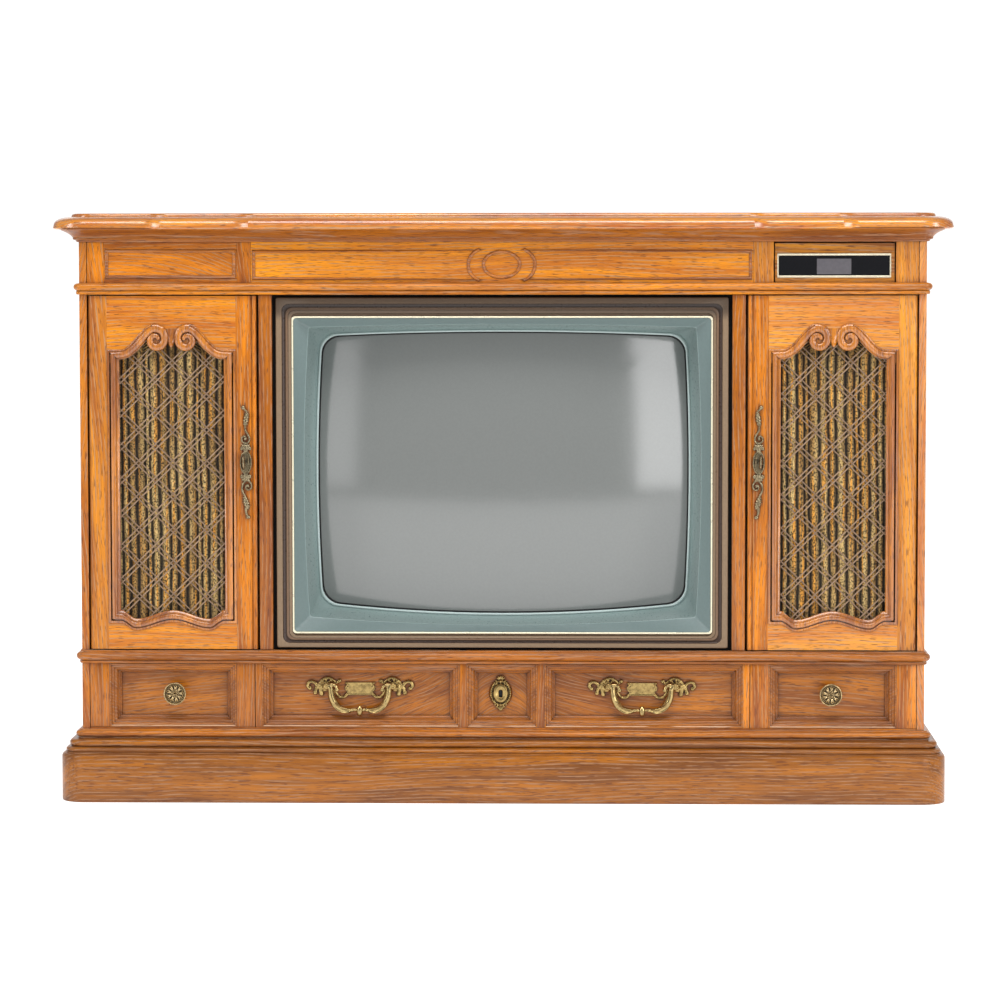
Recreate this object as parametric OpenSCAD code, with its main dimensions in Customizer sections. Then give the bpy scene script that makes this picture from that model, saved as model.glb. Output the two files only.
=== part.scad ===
// Console television cabinet: floor-standing wooden case with a shaped top, two hinged
// speaker-grille doors, a picture tube in a moulded mask, and brass furniture.
// Millimetres. +X is to the viewer's right, +Y goes back, +Z goes up. The origin is on the
// floor under the middle of the cabinet. Every piece is its own module.

/* [Cabinet] */
// Width across the shaped top
top_width = 1236; // [1210:2:1260]
// Width of the case between its outer side faces
case_width = 1154; // [1150:1:1156]
// Distance from the middle to the case's front face
case_front = 250; // [240:1:260]
// How far the top reaches in front of the case
top_overhang = 40; // [34:1:44]
// Height of the flat part of the plinth
plinth_flat = 62; // [56:1:66]
// Height of the whole plinth
plinth_height = 85; // [82:1:88]
// How far the plinth stands proud of the case
plinth_proud = 27; // [22:1:32]
// Thickness of the side panels
side_thickness = 18; // [16:1:20]
// Thickness of the front frame boards
frame_thickness = 20; // [18:1:20]

/* [Front levels] */
// Height at the top of the apron with its false drawers
apron_top = 188; // [184:1:190]
// Height at the bottom edge of the doors' opening
opening_bottom = 207; // [205:1:209]
// Height at the top edge of the doors' opening
opening_top = 694; // [690:1:696]
// Height at the bottom of the frieze
frieze_bottom = 710; // [708:1:712]
// Height at the top of the frieze
frieze_top = 766; // [765:1:768]
// Height at the underside of the top panel
top_underside = 784; // [783:1:786]
// Thickness of the top's shaped edge
edge_thickness = 14; // [12:1:16]
// Height of the top's raised field above its shaped edge
field_rise = 7; // [5:1:8]

/* [Doors] */
// Thickness of the doors
door_thickness = 20; // [18:1:20]
// Gap above and below each door
door_gap = 1.5; // [1:0.5:2]
// Distance from the middle to each door's inner edge
door_inner = 335; // [334:1:337]
// Distance from the middle to the hinge pins
pivot_x = 560; // [558:1:561]
// Radius of the hinge pins
pin_radius = 3; // [2.5:0.5:4]
// Radial clearance of the hinge pins in the doors
pin_clearance = 0.05; // [0.02:0.01:0.08]
// Distance from the middle to the middle of each grille opening
grille_x = 451.5; // [450:0.5:453]

/* [Television] */
// Half width of the posts' opening for the mask
tv_half_width = 314; // [313:1:315]
// Width of each post
post_width = 18; // [16:1:18]
// Half width of the screen opening in the bezel
screen_half_width = 258; // [255:1:259]
// Half height of the screen opening in the bezel
screen_half_height = 196; // [194:1:197]
// Height of the middle of the screen
screen_z = 446.5; // [445:0.5:448]
// Radius of the glass's curvature
glass_radius = 1100; // [1000:10:1200]

/* [Furniture] */
// Distance from the middle to each rosette knob
knob_x = 450; // [446:0.5:453]
// Height of the middle of the knobs and the escutcheon
furniture_z = 146.5; // [145:0.5:149]
// Distance from the middle to the escutcheon, which sits a little to the left
escutcheon_x = -2.5; // [-3:0.5:3]
// Distance from the middle to each bail pull
bail_x = 192; // [190:1:195]
// Height of the bails' pivots
bail_pivot_z = 156; // [155:1:158]
// Radius of each bail's half ring
bail_radius = 38; // [36:1:39]

/* [Controls] */
// Left edge of the control opening in the frieze
control_left = 370; // [368:1:372]
// Right edge of the control opening in the frieze
control_right = 535; // [534:1:537]
// Travel of the push keys
key_travel = 1.5; // [1:0.1:1.5]

/* [Hidden] */
$fn = 48;

half_case = case_width / 2;
front = -case_front;
back = case_front;
front_inner = front + frame_thickness;
side_inner = half_case - side_thickness;
strip_width = 10;                      // front edge of a side panel that shows beside the door
strip_inner = half_case - strip_width;
door_back = front + door_thickness;
rebate_back = door_back + 2;           // depth of the door rebate in the side panels
cover_thickness = 4;
cover_inner = back - cover_thickness;
cover_half = half_case - 9.5;
edge_top = top_underside + edge_thickness;
total_height = edge_top + field_rise;
panel_face = -226;                     // front face of the false drawers' panels
panel_thickness = 8;
carcass_front = -216;                  // front of the boards behind the false drawers
floor_top = plinth_height + 18;
divider_inner = tv_half_width + 2;
apron_openings = [[-539, -365], [-329.5, -58.5], [-48, 48], [58.5, 329.5], [365, 539]];
apron_low = 101;
apron_high = apron_top;
baffle_front = -226;
baffle_thickness = 14;
woofer_z = 340;
tweeter_z = 545;
speaker_x = (side_inner + tv_half_width + post_width) / 2;
mask_half = [310.5, 239.75];
mask_z = 450.25;
bezel_half = [285, 215.25];
bezel_z = 446.75;
glass_gap = 1.5;
glass_front = -200;
glass_back = -95;
funnel_end = 110;
neck_end = 226;
pull_z = 465;
pull_x = 350;
key_x = [388, 402, 416, 488, 502];
key_z = 732;
display_span = [427.5, 474.5];
window_axis = [-245, 718];             // y and z of the control window's hinge
window_span = [375, 528.5];
window_levels = [716.5, 750];
window_faces = [-246, -242];
key_plate_faces = [-239.5, -236];
cover_screws = concat([for (s = [-1, 1], z = [160, 440, 730]) [s * 563, z]],
    [for (x = [-400, -200, 200, 400]) [x, 94]]);

// A box given by its low and high corners
module block(low, high) {
    translate(low) cube([high[0] - low[0], high[1] - low[1], high[2] - low[2]]);
}

// The children on the right, and mirrored on the left
module both_sides() {
    children();
    mirror([1, 0, 0]) children();
}

// A flat outline given in X and Z, as a plate between two Y planes
module plate_xz(y0, y1) {
    translate([0, y1, 0]) rotate([90, 0, 0]) linear_extrude(y1 - y0) children();
}

// A rectangle with round corners
module rounded_rect(half_w, half_h, r) {
    square([2 * half_w, 2 * (half_h - r)], center = true);
    square([2 * (half_w - r), 2 * half_h], center = true);
    for (x = [-1, 1], y = [-1, 1])
        translate([x * (half_w - r), y * (half_h - r)]) circle(r);
}

// Points along an arc
function arc(cx, cy, r, a0, a1, n) =
    [for (i = [0 : n]) let (a = a0 + (a1 - a0) * i / n) [cx + r * cos(a), cy + r * sin(a)]];
function reversed(points) = [for (i = [len(points) - 1 : -1 : 0]) points[i]];
function flipped(points) = [for (p = reversed(points)) [-p[0], p[1]]];

// ---- Mouldings that run round the front and both sides ----

// The profile's points are [distance out from the case, height]
module front_run(profile) {
    translate([-half_case, front, 0]) rotate([90, 0, 90]) linear_extrude(case_width)
        polygon([for (p = profile) [-p[0], p[1]]]);
}

module side_run(profile) {
    translate([half_case, back, 0]) rotate([90, 0, 0]) linear_extrude(2 * case_front)
        polygon(profile);
}

module round_corner(profile) {
    translate([half_case, front, 0]) rotate([0, 0, -90]) rotate_extrude(angle = 90)
        polygon(profile);
}

module mitred_corner(profile) {
    reach = 60;
    intersection() {
        translate([half_case, front, 0]) rotate([90, 0, 90]) linear_extrude(reach)
            polygon([for (p = profile) [-p[0], p[1]]]);
        linear_extrude(total_height) polygon([[half_case, front],
            [half_case + reach, front - reach], [half_case, front - reach]]);
    }
    intersection() {
        translate([half_case, front, 0]) rotate([90, 0, 0]) linear_extrude(reach)
            polygon(profile);
        linear_extrude(total_height) polygon([[half_case, front],
            [half_case + reach, front], [half_case + reach, front - reach]]);
    }
}

module round_moulding(profile) {
    front_run(profile);
    both_sides() {
        side_run(profile);
        round_corner(profile);
    }
}

// Half-round bead between two flat fillets
function bead_profile(z0, z1, proud) =
    let (r = (z1 - z0) * 0.36, zc = z0 + (z1 - z0) * 0.56)
    concat([[0, z0], [proud * 0.45, z0], [proud * 0.45, z0 + 3]],
        arc(proud - r * 0.75, zc, r, -70, 70, 8),
        [[proud * 0.4, z1 - 1.5], [proud * 0.4, z1], [0, z1]]);

// Cove that opens out upwards, with a small fillet below and above
function cove_profile(z0, z1, near, far) =
    let (rise = z1 - z0 - 6, run = far - near - 3)
    concat([[0, z0], [near, z0], [near, z0 + 3], [near + 1, z0 + 3]],
        [for (i = [0 : 8]) let (a = 90 * i / 8)
            [near + 1 + run * (1 - cos(a)), z0 + 3 + rise * sin(a)]],
        [[far, z1 - 3], [far, z1], [0, z1]]);

// Ogee shoulder over a flat plinth face
function plinth_profile() =
    let (p = plinth_proud, z = plinth_flat, rise = plinth_height - plinth_flat)
    concat([[0, 0], [p, 0], [p, z - 3]], arc(p - 3, z - 3, 3, 0, 90, 4),
        [[p - 6, z + 2]],
        [for (i = [0 : 6]) let (a = 90 * i / 6)
            [p - 7 - 8 * sin(a), z + 3 + (rise - 13) * (1 - cos(a))]],
        arc(p - 20, plinth_height - 5, 5, 0, 90, 5), [[0, plinth_height]]);

// ---- Case ----

cusp_x = [348, 468];                   // where the top's front edge has a cusp
cusp_run = 18;
cusp_step = 7;
corner_radius = 46;

// Right half of the front edge, drawn in by inset
function top_front(inset) =
    let (y0 = front - top_overhang + inset, shift = inset * 0.13, half = top_width / 2 - inset,
        r = corner_radius - inset * 0.6, y2 = y0 + 2 * cusp_step)
    concat([for (k = [0, 1], i = [0 : 6]) let (a = 90 * i / 6)
            [cusp_x[k] - shift + cusp_run * (1 - cos(a)),
                y0 + k * cusp_step + cusp_step * sin(a)]],
        arc(half - r, y2 + r, r, -90, 0, 10));

module top_outline(inset) {
    half = top_width / 2 - inset;
    polygon(concat(top_front(inset), [[half, back], [-half, back]], flipped(top_front(inset))));
}

module top_panel() {
    color("peru") {
        layers = 7;
        for (i = [0 : layers - 1]) {
            a = 90 * (i + 0.5) / layers;
            low = top_underside + edge_thickness * i / layers;
            translate([0, 0, low]) linear_extrude(edge_thickness / layers)
                top_outline(26 * (1 - cos(a)));
        }
        translate([0, 0, edge_top]) linear_extrude(field_rise) top_outline(29);
    }
}

module cornice_moulding() {
    profile = cove_profile(frieze_top, top_underside, 4, 21);
    color("sienna") {
        front_run(profile);
        both_sides() {
            side_run(profile);
            mitred_corner(profile);
        }
    }
}

module side_panel() {
    color("peru") difference() {
        block([side_inner, front, plinth_height], [half_case, back, top_underside]);
        block([side_inner - 1, front - 1, plinth_height - 1],
            [strip_inner, rebate_back, top_underside + 1]);
        block([side_inner - 1, cover_inner, plinth_height - 1],
            [cover_half + 0.5, back + 1, top_underside + 1]);
        for (z = [160, 440, 730])
            translate([563, cover_inner + 1, z]) rotate([90, 0, 0]) cylinder(r = 1.8, h = 14);
    }
}

module left_side_panel() { mirror([1, 0, 0]) side_panel(); }
module right_side_panel() { side_panel(); }

module bottom_board() {
    color("burlywood") difference() {
        block([-side_inner, carcass_front, plinth_height], [side_inner, cover_inner, floor_top]);
        for (x = [-400, -200, 200, 400])
            translate([x, cover_inner + 1, 94]) rotate([90, 0, 0]) cylinder(r = 1.8, h = 14);
    }
}

module frieze_board() {
    color("peru") difference() {
        block([-strip_inner, front, opening_top], [strip_inner, front_inner, top_underside]);
        block([control_left, front - 1, frieze_bottom + 0.5],
            [control_right, front_inner + 1, frieze_top - 1]);
    }
}

// Raised bead frame with its outside edges given
module bead_frame(x0, x1, z0, z1, w) {
    difference() {
        translate([x0, z0]) square([x1 - x0, z1 - z0]);
        translate([x0 + w, z0 + w]) square([x1 - x0 - 2 * w, z1 - z0 - 2 * w]);
    }
}

module oval(rx, rz) {
    polygon([for (i = [0 : 47]) [rx * cos(7.5 * i), rz * sin(7.5 * i)]]);
}

module frieze_beading() {
    bead = 4;
    oval_z = 735;
    color("chocolate") {
        plate_xz(front - 3, front) {
            bead_frame(-541, -363, 716.5, 755.5, bead);
            difference() {
                bead_frame(-340, 340, 714.5, 754.5, bead);
                translate([0, oval_z]) oval(43, 26);
            }
            difference() {
                intersection() {
                    translate([0, oval_z]) oval(46, 30);
                    translate([-50, 714.5]) square([100, 40]);
                }
                translate([0, oval_z]) oval(41, 27);
            }
        }
        plate_xz(front - 5, front) translate([0, oval_z]) difference() {
            oval(27, 19.5);
            oval(22, 14.5);
        }
        plate_xz(front - 3, front) translate([0, oval_z]) oval(17, 10);
    }
}

module upper_bead_moulding() {
    color("sienna") round_moulding(bead_profile(opening_top, frieze_bottom, 8));
}

module lower_bead_moulding() {
    color("sienna") round_moulding(bead_profile(apron_top, opening_bottom, 7));
}

module posts() {
    color("peru") both_sides() block([tv_half_width, front, opening_bottom],
        [tv_half_width + post_width, front_inner, opening_top]);
}

module dividers() {
    color("burlywood") both_sides() {
        block([divider_inner, front_inner, opening_bottom],
            [tv_half_width + post_width, cover_inner, top_underside]);
        block([divider_inner, carcass_front, floor_top],
            [tv_half_width + post_width, cover_inner, opening_bottom + 1]);
    }
}

module apron_board() {
    color("peru") difference() {
        block([-strip_inner, front, plinth_height], [strip_inner, front_inner, opening_bottom]);
        for (o = apron_openings)
            block([o[0], front - 1, apron_low], [o[1], front_inner + 1, apron_high]);
    }
}

// Stepped frame in each false drawer's recess
module apron_mouldings() {
    steps = [[0, 4, 2], [4, 8, 7], [8, 11, 12], [11, 14, 17]];  // near, far, depth in
    color("chocolate") for (o = apron_openings) for (s = steps)
        plate_xz(front + s[2], panel_face) difference() {
            translate([o[0] + s[0], apron_low + s[0]])
                square([o[1] - o[0] - 2 * s[0], apron_high - apron_low - 2 * s[0]]);
            translate([o[0] + s[1], apron_low + s[1]])
                square([o[1] - o[0] - 2 * s[1], apron_high - apron_low - 2 * s[1]]);
        }
}

module apron_panels() {
    margin = 5;
    color("peru") for (o = apron_openings)
        block([o[0] - margin, panel_face, floor_top + 1],
            [o[1] + margin, panel_face + panel_thickness, apron_high + margin - 1]);
}

module base_moulding() {
    color("sienna") round_moulding(bead_profile(plinth_height, 97, 7));
}

module plinth_moulding() {
    color("sienna") round_moulding(plinth_profile());
}

module plinth_frame() {
    rail = 18;
    color("burlywood") difference() {
        block([-half_case, front, 0], [half_case, back, plinth_height]);
        block([-half_case + rail, front + rail, -1], [half_case - rail, back - rail, 100]);
    }
}

// ---- Speakers ----

module speaker_baffles() {
    color("burlywood") both_sides() difference() {
        block([tv_half_width + post_width, baffle_front, apron_high + 6],
            [side_inner, baffle_front + baffle_thickness, top_underside]);
        for (s = [[woofer_z, 70], [tweeter_z, 30]])
            translate([speaker_x, baffle_front + 20, s[0]]) rotate([90, 0, 0])
                cylinder(r = s[1], h = 30);
    }
}

// Round driver that faces forward: cone, surround, basket and magnet
module driver(r, depth, magnet_r) {
    throat = magnet_r * 0.45;
    rotate([-90, 0, 0]) rotate_extrude() polygon([[0, depth * 0.55], [throat, depth * 0.5],
        [r * 0.78, 2], [r * 0.86, 0], [r * 0.92, 2], [r, 2], [r, 5], [r * 0.9, 5],
        [magnet_r * 0.8, depth * 0.72], [magnet_r, depth * 0.72], [magnet_r, depth],
        [0, depth]]);
}

module woofers() {
    color("dimgray") both_sides()
        translate([speaker_x, baffle_front + baffle_thickness, woofer_z]) driver(82, 80, 40);
}

module tweeters() {
    color("gray") both_sides()
        translate([speaker_x, baffle_front + baffle_thickness, tweeter_z]) driver(38, 34, 22);
}

// ---- Back ----

cup_half = [95, 85];
cup_wall = 3;
cup_back = case_front + top_overhang;
inlet_at = [250, 150];
tuner_at = [-230, 140];

module back_cover() {
    color("saddlebrown") difference() {
        union() {
            block([-cover_half, cover_inner, 87], [cover_half, back, top_underside - 1]);
            plate_xz(back, cup_back) translate([0, screen_z])
                rounded_rect(cup_half[0], cup_half[1], 14);
        }
        plate_xz(cover_inner - 1, cup_back - cup_wall) translate([0, screen_z])
            rounded_rect(cup_half[0] - cup_wall, cup_half[1] - cup_wall, 11);
        for (s = [-1, 1], row = [0 : 1], i = [0 : 8])
            block([s * 215 - 70 + i * 16, cover_inner - 1, 560 + row * 90],
                [s * 215 - 65 + i * 16, back + 1, 630 + row * 90]);
        for (s = [-1, 1], i = [0 : 8])
            block([s * 130 - 70 + i * 16, cover_inner - 1, 210],
                [s * 130 - 65 + i * 16, back + 1, 270]);
        for (p = cover_screws)
            translate([p[0], back + 1, p[1]]) rotate([90, 0, 0]) cylinder(r = 2, h = 6);
        plate_xz(cover_inner - 1, back + 1) {
            translate(inlet_at) square([34, 24], center = true);
            translate(tuner_at) circle(7);
        }
    }
}

module back_cover_screws() {
    color("silver") for (p = cover_screws) translate([p[0], back, p[1]]) {
        rotate([90, 0, 0]) cylinder(r = 1.75, h = 15);
        difference() {
            rotate([-90, 0, 0]) cylinder(r1 = 4, r2 = 3, h = 2.2);
            block([-3.2, 1, -0.5], [3.2, 3, 0.5]);
            block([-0.5, 1, -3.2], [0.5, 3, 3.2]);
        }
    }
}

module ac_inlet() {
    color("dimgray") translate([inlet_at[0], 0, inlet_at[1]]) difference() {
        union() {
            plate_xz(cover_inner - 14, back) square([33, 23], center = true);
            plate_xz(back, back + 3) rounded_rect(23, 16, 4);
        }
        difference() {
            plate_xz(cover_inner - 8, back + 4) rounded_rect(13, 8, 4);
            for (x = [-6, 6]) translate([x, cover_inner + 4, 0]) rotate([90, 0, 0])
                cylinder(r = 1.2, h = 16);
        }
    }
}

module tuner_module() {
    color("silver") translate([tuner_at[0], 0, tuner_at[1]]) {
        block([-30, 168, -25.4], [30, 233, 20]);
        rotate([-90, 0, 0]) translate([0, 0, 233]) {
            cylinder(r = 5.5, h = 19);
            cylinder(r = 4.7, h = 29);
        }
    }
}

// ---- Television ----

module tv_mask() {
    steps = [[-246, 0], [-243, 8], [-238, 12], [-241, 16], [-236, 20]];
    inner = [bezel_half[0] + 1.5, bezel_half[1] + 1.5];
    color("dimgray") difference() {
        union() {
            for (s = steps) plate_xz(s[0], front_inner) translate([0, mask_z])
                rounded_rect(mask_half[0] - s[1], mask_half[1] - s[1], 6);
            plate_xz(front_inner, front_inner + 3) translate([0, mask_z])
                square([2 * divider_inner, 2 * mask_half[1] + 16], center = true);
        }
        for (s = steps) if (s[1] > 0)
            plate_xz(-260, s[0]) translate([0, mask_z])
                rounded_rect(mask_half[0] - s[1], mask_half[1] - s[1] - 1, 6);
        plate_xz(-260, -200) translate([0, bezel_z]) rounded_rect(inner[0], inner[1], 5);
    }
}

module mask_trim() {
    color("gold") plate_xz(-240, front_inner) translate([0, bezel_z]) difference() {
        rounded_rect(bezel_half[0] + 1.5, bezel_half[1] + 1.5, 5);
        rounded_rect(bezel_half[0], bezel_half[1], 4);
    }
}

// Sloping walls that lead in to the glass
module screen_bezel() {
    lip = 2;
    ridge_y = -208;
    color("cadetblue") difference() {
        plate_xz(-238, -155) translate([0, bezel_z])
            rounded_rect(bezel_half[0], bezel_half[1], 4);
        hull() {
            plate_xz(-239, -238) translate([0, bezel_z])
                square([2 * bezel_half[0] - 2 * lip, 2 * bezel_half[1] - 2 * lip], center = true);
            plate_xz(ridge_y - 0.1, ridge_y) translate([0, screen_z]) square([
                2 * screen_half_width + 18, 2 * screen_half_height + 14], center = true);
        }
        plate_xz(ridge_y - 1, -150) translate([0, screen_z])
            rounded_rect(screen_half_width, screen_half_height, 26);
        difference() {
            plate_xz(ridge_y + 14, -150) translate([0, bezel_z])
                rounded_rect(bezel_half[0] + 9, bezel_half[1] + 9, 8);
            plate_xz(ridge_y, -149) translate([0, screen_z])
                rounded_rect(screen_half_width + 7, screen_half_height + 6, 28);
        }
    }
}

glass_half = [screen_half_width - glass_gap, screen_half_height - glass_gap];
glass_thickness = 12;

// Dome with a shallow spherical front, as deep as the tube's panel
module dome(r, reach) {
    steps = 16;
    sweep = asin(reach / r);
    translate([0, glass_front + glass_radius, screen_z]) rotate([90, 0, 0])
        rotate_extrude($fn = 180) polygon(concat([[0, glass_radius + glass_front - glass_back]],
            [[reach, glass_radius + glass_front - glass_back]],
            [for (i = [steps : -1 : 0]) [r * sin(sweep * i / steps), r * cos(sweep * i / steps)]]));
}

// Curved front panel of the picture tube with its skirt
module tube_face() {
    reach = 330;
    color("slategray") difference() {
        intersection() {
            plate_xz(glass_front - 1, glass_back) translate([0, screen_z])
                rounded_rect(glass_half[0], glass_half[1], 25);
            dome(glass_radius, reach);
        }
        intersection() {
            plate_xz(glass_front, glass_back + 1) translate([0, screen_z])
                rounded_rect(glass_half[0] - 10, glass_half[1] - 10, 18);
            dome(glass_radius - glass_thickness, reach);
        }
    }
}

// Hollow cone of the tube, from the panel's rectangle to the round neck
module funnel_body(shrink, extra) {
    hull() {
        plate_xz(glass_back - extra, glass_back + 1) translate([0, screen_z])
            rounded_rect(glass_half[0] - shrink, glass_half[1] - shrink, 22, $fn = 32);
        plate_xz(funnel_end - 121, funnel_end - 120) translate([0, screen_z])
            rounded_rect(150 - shrink, 112 - shrink, 60, $fn = 32);
    }
    hull() {
        plate_xz(funnel_end - 121, funnel_end - 120) translate([0, screen_z])
            rounded_rect(150 - shrink, 112 - shrink, 60, $fn = 32);
        translate([0, funnel_end, screen_z]) rotate([90, 0, 0])
            cylinder(r = 30 - shrink * 2.6, h = 1, $fn = 32);
    }
}

module tube_funnel() {
    color("gray") {
        difference() {
            funnel_body(0, 0);
            funnel_body(7, 1);
        }
        translate([0, neck_end, screen_z]) rotate([90, 0, 0]) difference() {
            cylinder(r = 14.5, h = neck_end - funnel_end + 1);
            translate([0, 0, 3]) cylinder(r = 12.5, h = neck_end - funnel_end);
        }
    }
}

module rim_band() {
    lug_y = glass_back - 8;
    color("darkgray") plate_xz(glass_back - 30, glass_back - 6) translate([0, screen_z])
        difference() {
            rounded_rect(glass_half[0] + 1.5, glass_half[1] + 1.5, 26);
            rounded_rect(glass_half[0] + 0.1, glass_half[1] + 0.1, 25);
        }
    color("darkgray") for (x = [-1, 1], z = [-1, 1])
        translate([x * (glass_half[0] + 1.5), lug_y, screen_z + z * (glass_half[1] - 40)])
            mirror([x < 0 ? 1 : 0, 0, 0]) difference() {
                block([-1, 0, -14], [divider_inner - glass_half[0] - 1.5, 2, 14]);
                translate([44, 3, 0]) rotate([90, 0, 0]) cylinder(r = 4, h = 4);
            }
}

module deflection_yoke() {
    color("peru") translate([0, 0, screen_z]) rotate([-90, 0, 0]) rotate_extrude()
        polygon([[30.5, funnel_end], [52, funnel_end - 0.2], [46, funnel_end + 38],
            [26, funnel_end + 52], [15, funnel_end + 52], [15, funnel_end + 30],
            [30.5, funnel_end + 4]]);
}

module neck_board() {
    color("seagreen") {
        plate_xz(neck_end + 6, neck_end + 7.6) translate([0, screen_z])
            square([88, 96], center = true);
        translate([0, neck_end + 6, screen_z]) rotate([90, 0, 0]) cylinder(r = 17, h = 5.9);
        block([18, neck_end + 7.6, screen_z - 40], [38, neck_end + 28, screen_z - 16]);
    }
}

// ---- Chassis ----

board_low = 113;

module chassis_tray() {
    color("silver") {
        difference() {
            block([-290, 20, 103], [290, 236, 128]);
            block([-288.5, 21.5, 104.5], [288.5, 234.5, 130]);
        }
        for (x = [-255, 0, 255], y = [45, 212]) translate([x, y, 104])
            cylinder(r = 4, h = board_low - 104);
    }
}

module circuit_board() {
    capacitors = [[-120, 70, 15, 38], [-80, 70, 12, 32], [20, 180, 11, 30], [60, 180, 9, 26],
        [-30, 120, 8, 22], [110, 70, 10, 28]];
    color("seagreen") block([-275, 30, board_low], [275, 160, board_low + 1.6]);
    color("seagreen") block([-190, 159, board_low], [275, 225, board_low + 1.6]);
    color("seagreen") for (c = capacitors)
        translate([c[0], c[1], board_low + 1]) cylinder(r = c[2], h = c[3]);
    color("seagreen") for (x = [-240 : 45 : -150])
        block([x, 50, board_low + 1], [x + 4, 130, board_low + 46]);
}

module flyback_transformer() {
    color("dimgray") translate([200, 110, board_low + 1.6]) {
        cylinder(r = 26, h = 62);
        block([-34, -9, 8], [34, 9, 26]);
        translate([0, 0, 62]) cylinder(r = 7, h = 14);
    }
}

// ---- Controls ----

fascia_faces = [-247, -236];

module control_fascia() {
    gap = 1.5;
    color("goldenrod") difference() {
        block([control_left + gap, fascia_faces[0], frieze_bottom + 1],
            [control_right - gap, fascia_faces[1], frieze_top - 2.5]);
        block([window_span[0] - 0.5, fascia_faces[0] - 1, window_levels[0] - 0.5],
            [window_span[1] + 0.5, fascia_faces[1] + 1, window_levels[1] + 0.5]);
        translate([window_span[0] - 2, window_axis[0], window_axis[1]]) rotate([0, 90, 0])
            cylinder(r = 1.05, h = window_span[1] - window_span[0] + 4);
    }
}

module key_plate() {
    color("black") difference() {
        block([window_span[0] - 0.5, key_plate_faces[0], window_levels[0] - 0.5],
            [window_span[1] + 0.5, key_plate_faces[1], window_levels[1] + 0.5]);
        for (x = key_x)
            block([x - 4.1, -250, key_z - 3.1], [x + 4.1, -230, key_z + 3.1]);
        block([display_span[0], -250, 722.5], [display_span[1], -230, 743.5]);
    }
}

module display_module() {
    color("slategray") {
        block([display_span[0] + 0.2, key_plate_faces[0] + 1, 722.7],
            [display_span[1] - 0.2, key_plate_faces[1], 743.3]);
        block([display_span[0] - 3, key_plate_faces[1], 719.5],
            [display_span[1] + 3, key_plate_faces[1] + 10, 746.5]);
    }
}

// Smoked flip-down panel in a bright frame, with its two hinge pins
module control_window() {
    rim = 3;
    color("lightsteelblue") {
        difference() {
            block([window_span[0], window_faces[0], window_levels[0]],
                [window_span[1], window_faces[1], window_levels[1]]);
            block([window_span[0] + rim, window_faces[0] - 1, window_levels[0] + rim],
                [window_span[1] - rim, window_faces[0] + 1, window_levels[1] - rim]);
        }
        for (x = [window_span[0] - 1.8, window_span[1] - 0.2])
            translate([x, window_axis[0], window_axis[1]]) rotate([0, 90, 0])
                cylinder(r = 1, h = 2);
    }
}

module push_key(i) {
    x = key_x[i];
    color("darkslategray") {
        block([x - 4, -241.5, key_z - 3], [x + 4, -233, key_z + 3]);
        block([x - 5.5, key_plate_faces[1] + 0.1, key_z - 5], [x + 5.5, -234, key_z + 5]);
    }
}

module power_key() { push_key(0); }
module volume_down_key() { push_key(1); }
module volume_up_key() { push_key(2); }
module channel_down_key() { push_key(3); }
module channel_up_key() { push_key(4); }

// ---- Brass furniture ----

module escutcheon() {
    color("darkgoldenrod") plate_xz(panel_face - 3, panel_face) translate([escutcheon_x, furniture_z])
        difference() {
            union() {
                oval(16, 17);
                for (s = [-1, 1]) translate([0, s * 18]) circle(7);
            }
            translate([0, 3]) circle(2.7);
            translate([-1.3, -6]) square([2.6, 9]);
        }
}

module knobs() {
    color("darkgoldenrod") both_sides() translate([knob_x, panel_face, furniture_z])
        rotate([90, 0, 0]) rotate_extrude() polygon([[0, 0], [9, 0], [9, 2], [5.5, 4],
            [5.5, 12], [14, 15], [15.5, 17], [15.5, 20], [13.5, 22], [9, 21.5], [5, 24.5],
            [0, 25]]);
}

plate_thickness = 3;
bail_y = -238;

module bail_backplate() {
    difference() {
        union() {
            plate_xz(panel_face - plate_thickness, panel_face) translate([0, bail_pivot_z]) {
                translate([0, -5]) square([34, 18], center = true);
                for (s = [-1, 1]) {
                    translate([s * 46, 0]) circle(9);
                    translate([s * 22, -7]) circle(7);
                    translate([s * 33, -7]) circle(7.5);
                    translate([s * 60, -5]) circle(8);
                    translate([s * 70, -2]) circle(5);
                }
            }
            for (s = [-1, 1]) translate([s * 46.5, bail_y, bail_pivot_z]) {
                rotate([0, 90, 0]) cylinder(r = 4, h = 5, center = true);
                rotate([-90, 0, 0]) cylinder(r = 2.4, h = panel_face - bail_y - 1);
            }
        }
        translate([-60, bail_y, bail_pivot_z]) rotate([0, 90, 0]) cylinder(r = 1.55, h = 120);
    }
}

module bail_backplates() {
    color("darkgoldenrod") both_sides() translate([bail_x, 0, 0]) bail_backplate();
}

module bail() {
    color("gold") translate([0, bail_y, bail_pivot_z]) {
        rotate([-90, 0, 0]) rotate_extrude(angle = 180) translate([bail_radius, 0]) circle(3);
        translate([0, 0, -bail_radius]) rotate([0, 90, 0]) cylinder(r = 4.2, h = 12, center = true);
        for (s = [-1, 1]) translate([s * bail_radius, 0, 0]) {
            rotate([0, 90, 0]) cylinder(r = 3.4, h = 7.4, center = true);
            rotate([0, s * 90, 0]) cylinder(r = 1.5, h = 11);
        }
    }
}

module left_bail() { translate([-bail_x, 0, 0]) bail(); }
module right_bail() { translate([bail_x, 0, 0]) bail(); }

// ---- Doors, drawn for the right and mirrored for the left ----

door_low = opening_bottom + door_gap;
door_high = opening_top - door_gap;
pivot_y = front + 6;
grille_side = 80;
grille_low = 246.5;
grille_shoulder = 612;
grille_high = 636;

module grille_outline(gap) {
    s = grille_side - gap;
    translate([grille_x, 0]) polygon([[-s, grille_low + gap], [s, grille_low + gap],
        [s, grille_shoulder - gap], [64 - gap, grille_shoulder - gap], [36, grille_high - gap],
        [-36, grille_high - gap], [gap - 64, grille_shoulder - gap], [-s, grille_shoulder - gap]]);
}

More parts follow.
